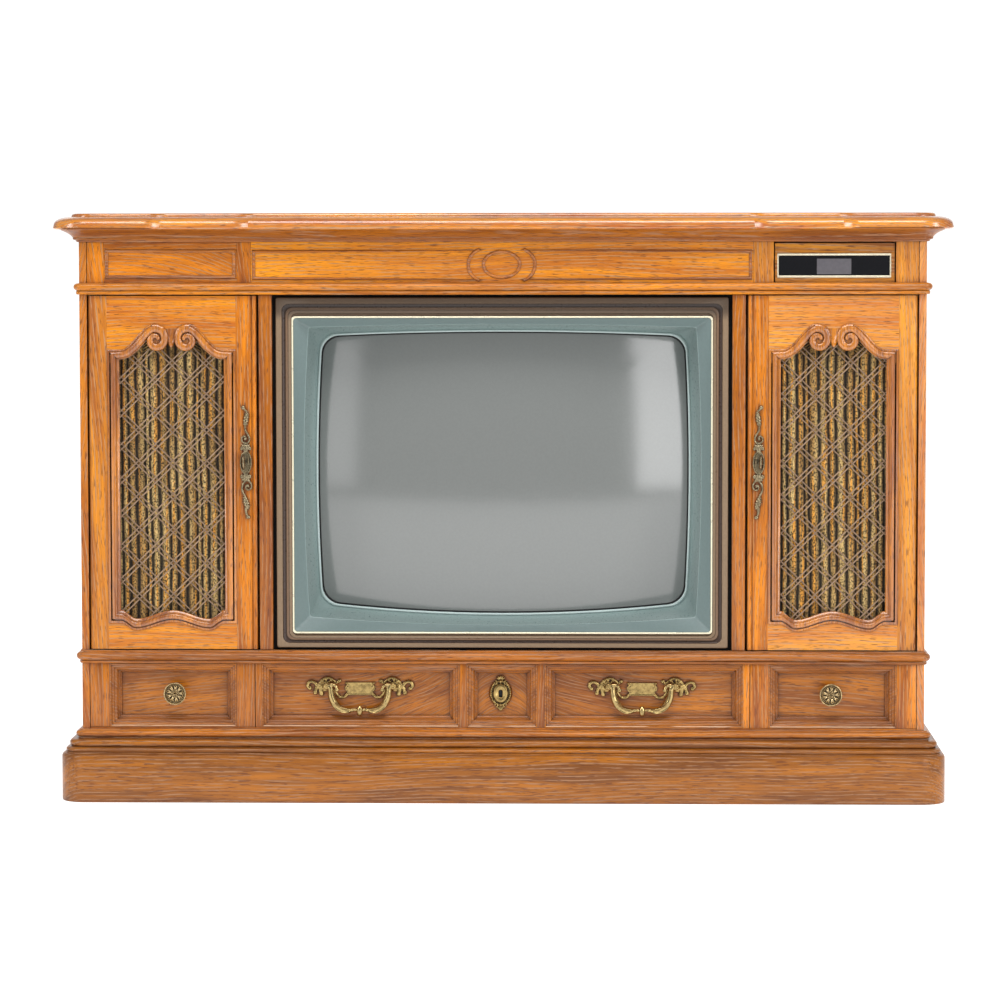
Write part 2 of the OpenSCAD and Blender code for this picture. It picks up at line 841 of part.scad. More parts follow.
module door_frame() {
    bore = 11;
    color("peru") difference() {
        translate([0, 0, door_low]) linear_extrude(door_high - door_low) union() {
            translate([door_inner, front]) square([pivot_x - door_inner, door_thickness]);
            translate([pivot_x - 1, pivot_y]) square([7, door_back - pivot_y]);
            translate([pivot_x, pivot_y]) circle(6);
        }
        plate_xz(front - 1, door_back + 1) grille_outline(0);
        for (z = [door_low - 1, door_high - bore])
            translate([pivot_x, pivot_y, z])
                cylinder(r = pin_radius + pin_clearance, h = bore + 1);
    }
}

// Edges of the grille's moulding, as heights over a distance u from its middle
function ramp(t) = t * t * (3 - 2 * t);
function crest(u) = 619 + 35 * ramp(min(1, max(0, (70 - abs(u)) / 46)));
function scallop(u) = abs(u) > 66 ? 0 : -6.5 * (1 - cos(abs(u) < 49 ? 180 * abs(u) / 49 :
    180 * (66 - abs(u)) / 17)) + (abs(u) < 49 ? 3.5 * (1 + cos(180 * abs(u) / 49)) / 2 : 0);
moulding_outer = 88;
moulding_inner = 73.2;
liner = 74;                            // half width inside the strip behind the moulding

module moulding_outline() {
    top_points = [for (u = [-88 : 4 : -20]) [u, crest(u)]];
    top_inner = [for (u = [-moulding_inner : 4.4 : -29]) [u, crest(u + 4) - 12.5]];
    difference() {
        polygon(concat(top_points, flipped(top_points),
            [for (u = [88 : -4 : -88]) [u, 244 + scallop(u)]]));
        polygon(concat(top_inner, flipped(top_inner),
            [for (u = [73 : -2 : -73]) [u, 258.5 + scallop(u)]]));
    }
    for (s = [-1, 1]) translate([s * 20.5, 634]) circle(16.1);
    polygon([[-9, 646], [9, 646], [4, 628], [0, 622], [-4, 628]]);
}

module door_moulding() {
    color("chocolate") {
        plate_xz(front - 4, front) translate([grille_x, 0]) moulding_outline();
        plate_xz(front + 0.1, front + 7) difference() {
            grille_outline(0);
            translate([grille_x, 0]) polygon([[-liner, 262], [liner, 262], [liner, 604],
                [58, 604], [38, 618], [-38, 618], [-58, 604], [-liner, 604]]);
        }
    }
}

wire_pitch = 46.3;
wire_pair = 6.5;

module diagonal_bars(turn) {
    step = wire_pitch / sqrt(2);
    translate([grille_x, 440]) rotate(turn) for (i = [-9 : 9])
        translate([-320, i * step - wire_pair / 2]) square([640, wire_pair]);
}

module door_lattice() {
    color("tan") {
        plate_xz(front + 8, front + 9.5) intersection() {
            grille_outline(0.3);
            diagonal_bars(45);
        }
        plate_xz(front + 9.5, front + 11) intersection() {
            grille_outline(0.3);
            diagonal_bars(-45);
        }
    }
}

module door_cloth() {
    color("darkkhaki") plate_xz(front + 12.5, front + 18.5) grille_outline(0.3);
}

module door_pull() {
    bosses = [[-75, 4, 5], [-62, 6, 5], [-45, 5.5, 6], [-30, 8, 5], [30, 8, 5], [45, 5.5, 6],
        [62, 6, 5], [75, 4, 5]];  // height, radius, how far out
    color("darkgoldenrod") translate([pull_x, front, pull_z]) {
        for (b = bosses) translate([0, 0, b[0]]) rotate([90, 0, 0]) cylinder(r = b[1], h = b[2]);
        rotate([90, 0, 0]) linear_extrude(3) union() {
            square([6, 150], center = true);
            oval(11, 17);
        }
        rotate([90, 0, 0]) linear_extrude(14) oval(5, 14);
    }
}

module on_left() { mirror([1, 0, 0]) children(); }
module left_door_frame() { on_left() door_frame(); }
module left_door_moulding() { on_left() door_moulding(); }
module left_door_lattice() { on_left() door_lattice(); }
module left_door_cloth() { on_left() door_cloth(); }
module left_door_pull() { on_left() door_pull(); }
module right_door_frame() { door_frame(); }
module right_door_moulding() { door_moulding(); }
module right_door_lattice() { door_lattice(); }
module right_door_cloth() { door_cloth(); }
module right_door_pull() { door_pull(); }

module door_pivot_pins() {
    plate = 1.2;
    reach = 10;
    color("goldenrod") both_sides() {
        block([548, front + 2, opening_bottom], [566, front + 14, opening_bottom + plate]);
        block([548, front + 2, opening_top - plate], [566, front + 14, opening_top]);
        translate([pivot_x, pivot_y, opening_bottom + plate / 2])
            cylinder(r = pin_radius, h = reach + plate / 2);
        translate([pivot_x, pivot_y, opening_top - plate - reach])
            cylinder(r = pin_radius, h = reach + plate / 2);
    }
}

top_panel();
cornice_moulding();
left_side_panel();
right_side_panel();
bottom_board();
frieze_board();
frieze_beading();
upper_bead_moulding();
lower_bead_moulding();
posts();
dividers();
apron_board();
apron_mouldings();
apron_panels();
base_moulding();
plinth_moulding();
plinth_frame();
speaker_baffles();
woofers();
tweeters();
back_cover();
back_cover_screws();
ac_inlet();
tuner_module();
tv_mask();
mask_trim();
screen_bezel();
tube_face();
tube_funnel();
rim_band();
deflection_yoke();
neck_board();
chassis_tray();
circuit_board();
flyback_transformer();
control_fascia();
key_plate();
display_module();
control_window();
power_key();
volume_down_key();
volume_up_key();
channel_down_key();
channel_up_key();
escutcheon();
knobs();
bail_backplates();
left_bail();
right_bail();
door_pivot_pins();
left_door_frame();
left_door_moulding();
left_door_lattice();
left_door_cloth();
left_door_pull();
right_door_frame();
right_door_moulding();
right_door_lattice();
right_door_cloth();
right_door_pull();
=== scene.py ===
"""Console television cabinet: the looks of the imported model, drawn in millimetres around its CAD nodes."""
import math

import bmesh
import bpy
from mathutils import Matrix, Vector


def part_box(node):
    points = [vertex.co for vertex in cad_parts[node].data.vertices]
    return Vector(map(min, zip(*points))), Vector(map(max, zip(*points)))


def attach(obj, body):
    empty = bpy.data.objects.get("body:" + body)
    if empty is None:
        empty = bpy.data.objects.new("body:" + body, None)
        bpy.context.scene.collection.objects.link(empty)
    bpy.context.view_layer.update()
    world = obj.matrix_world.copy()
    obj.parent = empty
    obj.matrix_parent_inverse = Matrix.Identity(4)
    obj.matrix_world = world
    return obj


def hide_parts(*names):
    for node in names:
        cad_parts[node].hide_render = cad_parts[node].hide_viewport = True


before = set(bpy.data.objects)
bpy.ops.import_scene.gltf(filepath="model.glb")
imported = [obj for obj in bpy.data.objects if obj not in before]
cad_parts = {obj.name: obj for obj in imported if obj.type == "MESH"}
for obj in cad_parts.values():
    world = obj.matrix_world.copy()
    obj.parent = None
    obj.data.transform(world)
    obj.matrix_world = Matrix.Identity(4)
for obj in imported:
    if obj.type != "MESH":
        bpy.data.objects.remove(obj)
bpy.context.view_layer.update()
MM = 0.001


# ---- Places taken from the frame, in millimetres ----

def span(node):
    """Lowest and highest corner of a CAD node, in millimetres."""
    low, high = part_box(node)
    return Vector(low) / MM, Vector(high) / MM


FRONT = span("frieze_board")[0].y
HALF = span("right_side_panel")[1].x
STRIP = 10                                 # front edge of a side panel, beside the doors
END = HALF - STRIP - 0.7                   # leaves the joint with the side panel's edge open
TOP_LOW, TOP_HIGH = span("top_panel")
DOOR_LOW, DOOR_HIGH = span("right_door_frame")
GRILLE_X = sum(corner.x for corner in span("right_door_moulding")) / 2
POST_INNER = span("posts")[1].x - 18       # inner side of a front post
MASK_Y = span("tv_mask")[0].y
BEZEL_Y = span("screen_bezel")[0].y
PANEL_Y = span("apron_panels")[0].y
CLOTH_Y = span("right_door_cloth")[0].y
GLASS_APEX = span("tube_face")[0].y
GLASS_RADIUS = 1100                        # the screen is part of a sphere
GLASS_MIDDLE = 446.5                       # height of the screen's middle
BAIL_X, BAIL_Y, BAIL_Z = 192, -238, 156    # a bail's middle and its pivot line
BAIL_SHIFT = 4.2                           # how much further out the left bail hangs
KNOB_X, KEYHOLE_X, KNOB_Z = 450, -2.5, 146.5
PULL_X, PULL_Z = 350, 465                  # middle of a door's handle


# ---- Shapes ----

class Shape:
    """Collects closed shells in millimetres, each with a material number, then becomes one piece."""

    def __init__(self):
        self.verts, self.faces, self.slots = [], [], []
        self.slot = 0

    def add(self, verts, faces):
        start = len(self.verts)
        self.verts += [tuple(v) for v in verts]
        self.faces += [[start + i for i in face] for face in faces]
        self.slots += [self.slot] * len(faces)
        return self

    def use(self, slot):
        self.slot = slot
        return self

    def loft(self, rings, along=False):
        """Joins closed rings of equal length; along joins the last ring to the first, without end caps."""
        count = len(rings[0])
        faces = []
        for i in range(len(rings) if along else len(rings) - 1):
            a, b = i * count, (i + 1) % len(rings) * count
            for j in range(count):
                k = (j + 1) % count
                faces.append([a + j, a + k, b + k, b + j])
        if not along:
            faces.append(list(range(count))[::-1])
            faces.append([(len(rings) - 1) * count + j for j in range(count)])
        return self.add([p for ring in rings for p in ring], faces)

    def prism(self, outline, low, high, axis="z"):
        """A polygon pushed from low to high along an axis: xy outlines go along z, xz outlines along y."""
        place = {"z": lambda p, h: (p[0], p[1], h), "y": lambda p, h: (p[0], h, p[1])}[axis]
        return self.loft([[place(p, low) for p in outline], [place(p, high) for p in outline]])

    def board(self, low, high, bevel, segments):
        """A box whose edges are softened by bevel, in that many segments."""
        bm = bmesh.new()
        bmesh.ops.create_cube(bm, size=1)
        low, high = Vector(low), Vector(high)
        for v in bm.verts:
            v.co = Vector([(low[i] + high[i]) / 2 + v.co[i] * (high[i] - low[i]) for i in range(3)])
        bmesh.ops.bevel(bm, geom=bm.edges[:], offset=bevel, segments=segments, profile=0.5,
                        affect="EDGES", clamp_overlap=True)
        bm.verts.index_update()
        self.add([v.co.copy() for v in bm.verts], [[v.index for v in f.verts] for f in bm.faces])
        bm.free()
        return self

    def lathe(self, profile, centre, steps):
        """Turns (radius, y) points about a line along Y through centre."""
        rings = []
        for radius, height in profile:
            turns = [2 * math.pi * i / steps for i in range(steps)]
            rings.append([Vector(centre) + Vector((radius * math.cos(a), height, radius * math.sin(a)))
                          for a in turns])
        return self.loft(rings)

    def tube(self, points, radius, sides, flat=1.0, along=False):
        """A round or flattened rod through points. radius is a number or one value for each point, and
        along joins its ends."""
        points = [Vector(p) for p in points]
        count = len(points)
        radii = [radius] * count if isinstance(radius, (int, float)) else radius
        rings = []
        for i, p in enumerate(points):
            before = points[(i - 1) % count] if along or i else p
            after = points[(i + 1) % count] if along or i < count - 1 else p
            direction = (after - before).normalized()
            side = direction.cross(Vector((0, 1, 0))).normalized()
            lift = side.cross(direction).normalized()
            rings.append([p + side * radii[i] * math.cos(2 * math.pi * k / sides)
                          + lift * radii[i] * flat * math.sin(2 * math.pi * k / sides)
                          for k in range(sides)])
        return self.loft(rings, along=along)

    def blob(self, centre, size, steps=12, turn=0.0):
        """An ellipsoid, turned by an angle about Y."""
        rows = steps // 2
        rings = []
        for i in range(rows + 1):
            a = math.pi * (i + 0.02) / (rows + 0.04)
            ring = []
            for k in range(steps):
                b = 2 * math.pi * k / steps
                p = Vector((size[0] * math.sin(a) * math.cos(b), size[1] * math.sin(a) * math.sin(b),
                            size[2] * math.cos(a)))
                ring.append(Vector(centre) + Matrix.Rotation(turn, 3, "Y") @ p)
            rings.append(ring)
        return self.loft(rings)

    def mirrored(self):
        """The same shape on the other side of the middle."""
        other = Shape()
        other.verts = [(-x, y, z) for x, y, z in self.verts]
        other.faces = [face[::-1] for face in self.faces]
        other.slots = list(self.slots)
        return other

    def take(self, other):
        """Adds another shape's shells."""
        start = len(self.verts)
        self.verts += other.verts
        self.faces += [[start + i for i in face] for face in other.faces]
        self.slots += other.slots
        return self

    def piece(self, name, materials, slot, replaces=(), body="cabinet", angle=38, fuse=0.0):
        """Makes the Blender object. replaces names the CAD nodes that it stands for, edges over angle
        degrees stay sharp, and fuse, in millimetres, melts the shells into one cast surface."""
        mesh = bpy.data.meshes.new(name)
        mesh.from_pydata([(x * MM, y * MM, z * MM) for x, y, z in self.verts], [], self.faces)
        bm = bmesh.new()
        bm.from_mesh(mesh)
        bmesh.ops.recalc_face_normals(bm, faces=bm.faces[:])
        bm.to_mesh(mesh)
        bm.free()
        obj = bpy.data.objects.new(name, mesh)
        bpy.context.scene.collection.objects.link(obj)
        for material in materials if isinstance(materials, list) else [materials]:
            mesh.materials.append(material)
        mesh.polygons.foreach_set("material_index", self.slots)
        if fuse:
            melt(obj, fuse)
        obj.data.shade_smooth()
        obj.data.set_sharp_from_angle(angle=math.radians(angle))
        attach(obj, body)
        if replaces:
            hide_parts(*replaces)


def melt(obj, voxel):
    """Voxel remesh, a little smoothing, and the modifiers applied."""
    remesh = obj.modifiers.new("melt", "REMESH")
    remesh.mode = "VOXEL"
    remesh.voxel_size = voxel * MM
    remesh.use_smooth_shade = True
    smooth = obj.modifiers.new("soften", "SMOOTH")
    smooth.iterations = 2
    smooth.factor = 0.5
    graph = bpy.context.evaluated_depsgraph_get()
    mesh = bpy.data.meshes.new_from_object(obj.evaluated_get(graph))
    materials = list(obj.data.materials)
    obj.modifiers.clear()
    obj.data = mesh
    mesh.materials.clear()
    for material in materials:
        mesh.materials.append(material)


def arc(cx, cz, r, start, end, steps):
    """Points on an arc, angles in degrees."""
    turns = [math.radians(start + (end - start) * i / steps) for i in range(steps + 1)]
    return [(cx + r * math.cos(a), cz + r * math.sin(a)) for a in turns]


def rectangle(x0, x1, z0, z1):
    return [(x0, z0), (x1, z0), (x1, z1), (x0, z1)]


def inward(path):
    """Mitre vector at each point of a closed counter-clockwise path, one millimetre inwards."""
    vectors = []
    for i, p in enumerate(path):
        a, b = path[i - 1], path[(i + 1) % len(path)]
        d0 = Vector((p[0] - a[0], p[1] - a[1])).normalized()
        d1 = Vector((b[0] - p[0], b[1] - p[1])).normalized()
        n0, n1 = Vector((-d0.y, d0.x)), Vector((-d1.y, d1.x))
        vectors.append((n0 + n1) / max(0.2, 1 + n0.dot(n1)))
    return vectors


def surround(shape, path, profile):
    """Sweeps a closed profile of (inwards, y) points round a closed xz path."""
    rings = []
    for p, m in zip(path, inward(path)):
        rings.append([(p[0] + m.x * d, y, p[1] + m.y * d) for d, y in profile])
    return shape.loft(rings, along=True)


# ---- Materials ----

def srgb(r, g, b):
    """A colour given as screen values from 0 to 255."""
    def linear(c):
        c /= 255
        return c / 12.92 if c <= 0.04045 else ((c + 0.055) / 1.055) ** 2.4
    return (linear(r), linear(g), linear(b), 1)


class Paint:
    """Short calls that build one material's nodes."""

    def __init__(self, name):
        self.material = bpy.data.materials.new(name)
        self.material.use_nodes = True
        self.tree = self.material.node_tree
        self.tree.nodes.clear()
        self.place = self.node("TexCoord")["Object"]

    def node(self, kind, links=None, **settings):
        node = self.tree.nodes.new("ShaderNode" + kind)
        for key, value in settings.items():
            setattr(node, key, value)
        for key, value in (links or {}).items():
            if isinstance(value, bpy.types.NodeSocket):
                self.tree.links.new(value, node.inputs[key])
            else:
                node.inputs[key].default_value = value
        return node.outputs

    def math(self, operation, a, b=0.0):
        return self.node("Math", {0: a, 1: b}, operation=operation)[0]

    def plus(self, a, b):
        return self.math("ADD", a, b)

    def times(self, a, b):
        return self.math("MULTIPLY", a, b)

    def mix(self, factor, a, b, blend="MIX"):
        return self.node("Mix", {0: factor, 6: a, 7: b}, data_type="RGBA", blend_type=blend)[2]

    def dim(self, color, value):
        """A colour multiplied by a value."""
        even = self.node("CombineXYZ", {0: value, 1: value, 2: value})[0]
        return self.mix(1.0, color, even, "MULTIPLY")

    def turn(self, vector, rotation=(0, 0, 0), location=(0, 0, 0)):
        return self.node("Mapping", {"Vector": vector, "Rotation": rotation, "Location": location})[0]

    def noise(self, vector, scale, detail=2.0, rough=0.5):
        """Noise with scale spots per metre along X, Y and Z."""
        return self.node("TexNoise", {"Vector": self.node("Mapping", {"Vector": vector, "Scale": scale})[0],
                                      "Scale": 1.0, "Detail": detail, "Roughness": rough})[0]

    def ramp(self, factor, low, high, a=0.0, b=1.0):
        """A smooth step: a at or below low, b at or above high."""
        return self.node("MapRange", {"Value": factor, "From Min": low, "From Max": high,
                                      "To Min": a, "To Max": b}, interpolation_type="SMOOTHSTEP")[0]

    def parts(self, vector):
        return self.node("SeparateXYZ", {0: vector})

    def crease(self, reach, inside=False, samples=4):
        """1 in the open, falling to 0 in hollows, or on outside edges where inside is true."""
        return self.node("AmbientOcclusion", {"Distance": reach}, samples=samples, inside=inside)["AO"]

    def bump(self, height, depth, strength):
        return self.node("Bump", {"Height": height, "Distance": depth, "Strength": strength})[0]

    def finish(self, color, roughness, normal, metal=0.0, **more):
        links = {"Base Color": color, "Roughness": roughness, "Metallic": metal, "Normal": normal}
        for key, value in more.items():
            links[key.replace("_", " ")] = value
        shader = self.node("BsdfPrincipled", links)[0]
        self.node("OutputMaterial", {"Surface": shader})
        return self.material


GRAIN_TURN = {"x": (0, 0, 0), "z": (0, math.radians(90), 0), "y": (0, 0, math.radians(-90))}
AMBER = (236, 138, 8)
UMBER = (156, 80, 14)
PORE = (154, 132, 140)
TICK = (96, 48, 22)
GLAZE_AND_SHADE = (84, 42, 18)
WEAR_AND_HIGHLIGHT = (248, 218, 186)
PATINA = (38, 29, 19)


def wood(name, axis, seed, amber=AMBER, umber=UMBER, tilt=0.0, arch=0.0, middle=0, pitch=5.0, gloss=0.3,
         glaze_and_shade=0.8, run=False, wear_and_highlight=0.0, coat=0.15, lacquer=1.5, open_grain=0.85, polish=0.14):
    """Stained open-pored oak, amber with umber streaks. axis is the grain's way, and seed picks the board.
    tilt turns the grain in degrees in the front plane, arch bends its rings about middle, a place along it
    in millimetres, and pitch is how far apart the rings are. run makes it follow mouldings round the case.
    gloss is the wood's roughness, glaze how dark the hollows are painted, as stain left in them and as
    painted shade where less light reaches, worn how pale the rubbed edges that face up are, partly a painted
    highlight of light from above, and open_grain how strong the pores' grey is. coat is how much lacquer
    there is, lacquer its index of refraction, and polish its roughness."""
    p = Paint(name)
    place = p.turn(p.place, rotation=GRAIN_TURN[axis])
    if run:
        side = p.turn(p.place, rotation=GRAIN_TURN["y"])
        beyond = p.math("GREATER_THAN", p.parts(p.place)["Y"], (FRONT + 5) * MM)
        place = p.node("Mix", {0: beyond, 4: place, 5: side}, data_type="VECTOR")[1]
    if tilt:
        place = p.turn(place, rotation=(0, math.radians(tilt), 0))
    moved = p.turn(place, location=(0.37 * seed, 0.23 * seed, 0.051 * seed))
    along, depth, across = (p.parts(place)[k] for k in "XYZ")
    warp = p.noise(moved, (1.8, 8, 8))
    ring = p.plus(p.plus(p.times(warp, 0.05), across), p.times(depth, 0.6))
    if arch:
        away = p.math("SUBTRACT", along, middle * MM)
        ring = p.plus(ring, p.times(p.times(away, away), arch))
    grain = p.node("CombineXYZ", {0: along, 1: depth, 2: ring})[0]
    grain = p.turn(grain, location=(seed * 0.7, 0, seed * 0.13))
    beat = p.math("SINE", p.times(ring, 2 * math.pi / (pitch * MM)))
    early = p.ramp(beat, 0.1, 0.9, 0.06, 1.0)
    broad = p.noise(moved, (3.5, 30, 30), detail=3.0)
    band = p.noise(grain, (3.0, 60, 110), detail=3.0)
    pores = p.noise(grain, (26, 300, 460), rough=0.6)
    ticks = p.noise(grain, (60, 600, 900), detail=1.0)
    fibre = p.noise(grain, (25, 2400, 2400), detail=1.0)
    tone = p.plus(p.ramp(broad, 0.38, 0.62, 0.0, 0.55), p.ramp(band, 0.42, 0.6, 0.0, 0.5))
    color = p.mix(tone, srgb(*amber), srgb(*umber))
    open_pore = p.times(p.ramp(pores, 0.42, 0.56), early)
    pore = [0.42 * a + 0.58 * b for a, b in zip(amber, PORE)]
    color = p.mix(p.times(open_pore, open_grain), color, srgb(*pore))
    tick = p.times(p.ramp(ticks, 0.58, 0.66), 0.65)
    color = p.mix(tick, color, srgb(*TICK))
    color = p.dim(color, p.ramp(fibre, 0.3, 0.7, 0.88, 1.08))
    # Painted shade: ambient occlusion darkens the hollows towards the stain colour, partly as stain left in
    # them and partly as shade where less light reaches.
    hollow = p.math("MAXIMUM", p.ramp(p.crease(0.014), 0.3, 0.95, glaze_and_shade * 0.7, 0.0),
                    p.ramp(p.crease(0.0042), 0.34, 0.88, glaze_and_shade, 0.0))
    color = p.mix(hollow, color, srgb(*GLAZE_AND_SHADE))
    if wear_and_highlight:
        # Pale rubbed edges, only on edges that face up: partly rubbed wear, partly a painted highlight of
        # light from above.
        edge = p.ramp(p.crease(0.003, inside=True), 0.4, 0.86, 1.0, 0.0)
        patch = p.ramp(p.noise(moved, (22, 110, 110)), 0.36, 0.5, 0.0, wear_and_highlight)
        lit_from_above = p.ramp(p.parts(p.node("NewGeometry")["Normal"])["Z"], 0.05, 0.6)
        color = p.mix(p.times(p.times(edge, patch), lit_from_above), color, srgb(*WEAR_AND_HIGHLIGHT))
    height = p.math("SUBTRACT", p.times(fibre, 0.25), p.plus(open_pore, tick))
    rough = p.plus(p.times(open_pore, 0.2), p.ramp(broad, 0.3, 0.7, gloss - 0.04, gloss + 0.05))
    return p.finish(color, rough, p.bump(height, 0.00012, 0.8), Coat_Weight=coat, Coat_Roughness=polish,
                    Coat_IOR=lacquer, Specular_IOR_Level=0.4)


def plain(name, color, roughness, metal=0.0, grain=0.06, size=300.0, hollow=0.0, dark=(20, 18, 16),
          shade=0.0, **more):
    """One substance with fine mottling, painted shade in its hollows if hollow is above 0, and a painted
    shadow above the television's upper edge if shade is."""
    p = Paint(name)
    spots = p.noise(p.place, (size, size, size), detail=3.0)
    tint = p.dim(srgb(*color), p.ramp(spots, 0.3, 0.7, 1 - grain, 1 + grain))
    # Painted shade: the hollows, found by ambient occlusion, are darkened.
    if hollow:
        tint = p.mix(p.ramp(p.crease(0.006), 0.2, 0.9, hollow, 0.0), tint, srgb(*dark))
    # Painted shadow: the band above the television's upper edge is darkened where the frieze shades it.
    if shade:
        tint = p.mix(p.ramp(p.parts(p.place)["Z"], 0.656, 0.674, 0.0, shade), tint, srgb(*dark))
    rough = p.ramp(spots, 0.3, 0.7, roughness * 0.9, min(1, roughness * 1.1))
    return p.finish(tint, rough, p.bump(spots, 0.00004, 0.6), metal, **more)


def brass(name, bright, dark, roughness, reach=0.0035):
    """Cast antique brass: dark patina in the hollows, rubbed bright on what stands proud. reach is the
    hollows' size in metres."""
    p = Paint(name)
    blotch = p.noise(p.place, (170, 170, 170), detail=4.0)
    hollow = p.ramp(p.crease(reach, samples=8), 0.4, 0.85, 1.0, 0.0)
    stain = p.times(hollow, p.ramp(blotch, 0.25, 0.6, 0.88, 1.0))
    tint = p.mix(p.ramp(blotch, 0.4, 0.7, 0.0, 0.45), srgb(*bright), srgb(*dark))
    tint = p.mix(stain, tint, srgb(*PATINA))
    rough = p.plus(p.ramp(blotch, 0.3, 0.7, roughness - 0.06, roughness + 0.12), p.times(hollow, 0.3))
    return p.finish(tint, rough, p.bump(blotch, 0.00005, 0.3), p.ramp(hollow, 0.0, 1.0, 0.95, 0.3))


def gathered_cloth():
    """Loosely woven tan cloth with gold vertical threads, dark gaps in its weave, and painted black shade in
    the fold hollows.
    """
    p = Paint("grille cloth")
    side = p.noise(p.place, (14, 1, 22), detail=2.0)
    wavy = p.node("CombineXYZ", {0: p.times(side, 0.003), 1: 0.0, 2: 0.0})[0]
    place = p.node("VectorMath", {0: p.place, 1: wavy}, operation="ADD")[0]
    gaps = p.noise(place, (520, 60, 330), detail=2.5, rough=0.75)
    threads = p.noise(place, (420, 50, 14), detail=2.0)
    gold = p.noise(place, (360, 40, 7), detail=1.0)
    pale = p.noise(place, (48, 20, 3), detail=2.0)
    base = p.mix(p.ramp(pale, 0.4, 0.62), srgb(178, 138, 76), srgb(228, 194, 126))
    base = p.mix(p.ramp(threads, 0.48, 0.64, 0.0, 0.6), base, srgb(112, 84, 44))
    base = p.mix(p.ramp(gold, 0.56, 0.61, 0.0, 0.9), base, srgb(236, 164, 62))
    base = p.mix(p.ramp(gaps, 0.42, 0.53, 0.9, 0.0), base, srgb(36, 27, 16))
    # Painted shade: the deeper the cloth lies behind its front, the nearer to black it is painted, so the
    # fold hollows read as shadow.
    near = CLOTH_Y * MM
    depth = p.ramp(p.parts(p.place)["Y"], near + 0.001, near + 0.0045, 0.0, 0.95)
    base = p.mix(depth, base, srgb(14, 11, 8))
    height = p.plus(gaps, p.times(threads, 0.5))
    return p.finish(base, 0.85, p.bump(height, 0.0008, 0.9), Sheen_Weight=0.15)


# ---- Camera, floor and lights ----

def camera():
    data = bpy.data.cameras.new("camera")
    data.lens = 135
    data.sensor_width = 36
    data.clip_end = 60
    obj = bpy.data.objects.new("camera", data)
    obj.location = (0.1427, -5.3585, 0.7589)
    obj.rotation_euler = [math.radians(a) for a in (90 - 3.862, 0.058, 1.624)]
    bpy.context.scene.collection.objects.link(obj)
    bpy.context.scene.camera = obj


def floor():
    mesh = bpy.data.meshes.new("floor")
    reach, front = 7.3, -3.15              # its front edge shows as a horizon in the glass
    mesh.from_pydata([(-reach, front, 0), (reach, front, 0), (reach, reach, 0), (-reach, reach, 0)], [],
                     [[0, 1, 2, 3]])
    obj = bpy.data.objects.new("floor", mesh)
    p = Paint("pale floor")
    shader = p.node("BsdfPrincipled", {"Base Color": (0.5, 0.5, 0.5, 1), "Roughness": 0.6,
                                       "Specular IOR Level": 0.2, "Emission Color": (1, 1, 1, 1),
                                       "Emission Strength": 0.95})[0]
    p.node("OutputMaterial", {"Surface": shader})
    mesh.materials.append(p.material)
    bpy.context.scene.collection.objects.link(obj)


def softbox(name, place, target, size, watts):
    data = bpy.data.lights.new(name, "AREA")
    data.shape = "RECTANGLE"
    data.size, data.size_y = size
    data.energy = watts
    obj = bpy.data.objects.new(name, data)
    obj.location = place
    obj.rotation_euler = (Vector(target) - Vector(place)).to_track_quat("-Z", "Y").to_euler()
    obj.visible_camera = False
    bpy.context.scene.collection.objects.link(obj)


def lights():
    world = bpy.data.worlds.new("studio")
    bpy.context.scene.world = world
    world.use_nodes = True
    tree = world.node_tree
    tree.nodes.clear()
    seen = tree.nodes.new("ShaderNodeBackground")
    fill = tree.nodes.new("ShaderNodeBackground")
    for shader, strength in ((seen, 1.1), (fill, 0.3)):
        shader.inputs["Color"].default_value = (1, 1, 1, 1)
        shader.inputs["Strength"].default_value = strength
    path = tree.nodes.new("ShaderNodeLightPath")
    mix = tree.nodes.new("ShaderNodeMixShader")
    out = tree.nodes.new("ShaderNodeOutputWorld")
    tree.links.new(path.outputs["Is Camera Ray"], mix.inputs[0])
    tree.links.new(fill.outputs[0], mix.inputs[1])
    tree.links.new(seen.outputs[0], mix.inputs[2])
    tree.links.new(mix.outputs[0], out.inputs["Surface"])
    softbox("left softbox", (-3.3, -2.1, 2.0), (-0.1, -0.2, 0.45), (0.9, 1.6), 27)
    softbox("right softbox", (3.2, -2.1, 1.9), (0.2, -0.2, 0.45), (0.9, 1.6), 31)
    softbox("overhead softbox", (0.0, -1.7, 3.0), (0, -0.1, 0.4), (2.4, 1.2), 54)
    softbox("backdrop", (0, 3.2, 1.3), (0, 0, 0.8), (5.0, 2.4), 30)
    # Tall panels that the curved glass mirrors as soft strips at its sides
    softbox("left panel", (-2.27, -3.6, 0.95), (-0.22, -0.18, 0.55), (0.85, 1.85), 7)
    softbox("right panel", (1.82, -3.5, 0.95), (0.22, -0.18, 0.55), (0.85, 1.85), 17)
    view = bpy.context.scene.view_settings
    view.view_transform = "Standard"
    view.look = "None"


# ---- Materials, and the CAD nodes that stay as they are ----

def dress(material, *nodes):
    """Puts one material on CAD nodes that stay as they are."""
    for name in nodes:
        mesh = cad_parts[name].data
        mesh.materials.clear()
        mesh.materials.append(material)


OAK_X = wood("oak along x", "x", 1, glaze_and_shade=0.6)
OAK_Z = wood("oak upright", "z", 2)
OAK_SIDE = wood("oak side panel", "z", 3, (222, 134, 26), (168, 90, 24), arch=0.4, middle=420)
# The right side panel's own board, painted paler and greyer: partly a painted sheen from the right lamp.
OAK_SIDE_LIT = wood("oak right side", "z", 14, (238, 162, 84), (196, 116, 60), arch=0.4, middle=420)
OAK_UPPER = wood("oak upper bead", "x", 17, (230, 140, 24), (166, 92, 20), run=True, wear_and_highlight=0.4)
OAK_LOWER = wood("oak lower bead", "x", 18, (192, 110, 18), (136, 74, 16), run=True, wear_and_highlight=0.8)
OAK_RUN = wood("oak moulding", "x", 4, (208, 122, 20), (146, 78, 18), run=True, wear_and_highlight=0.5)
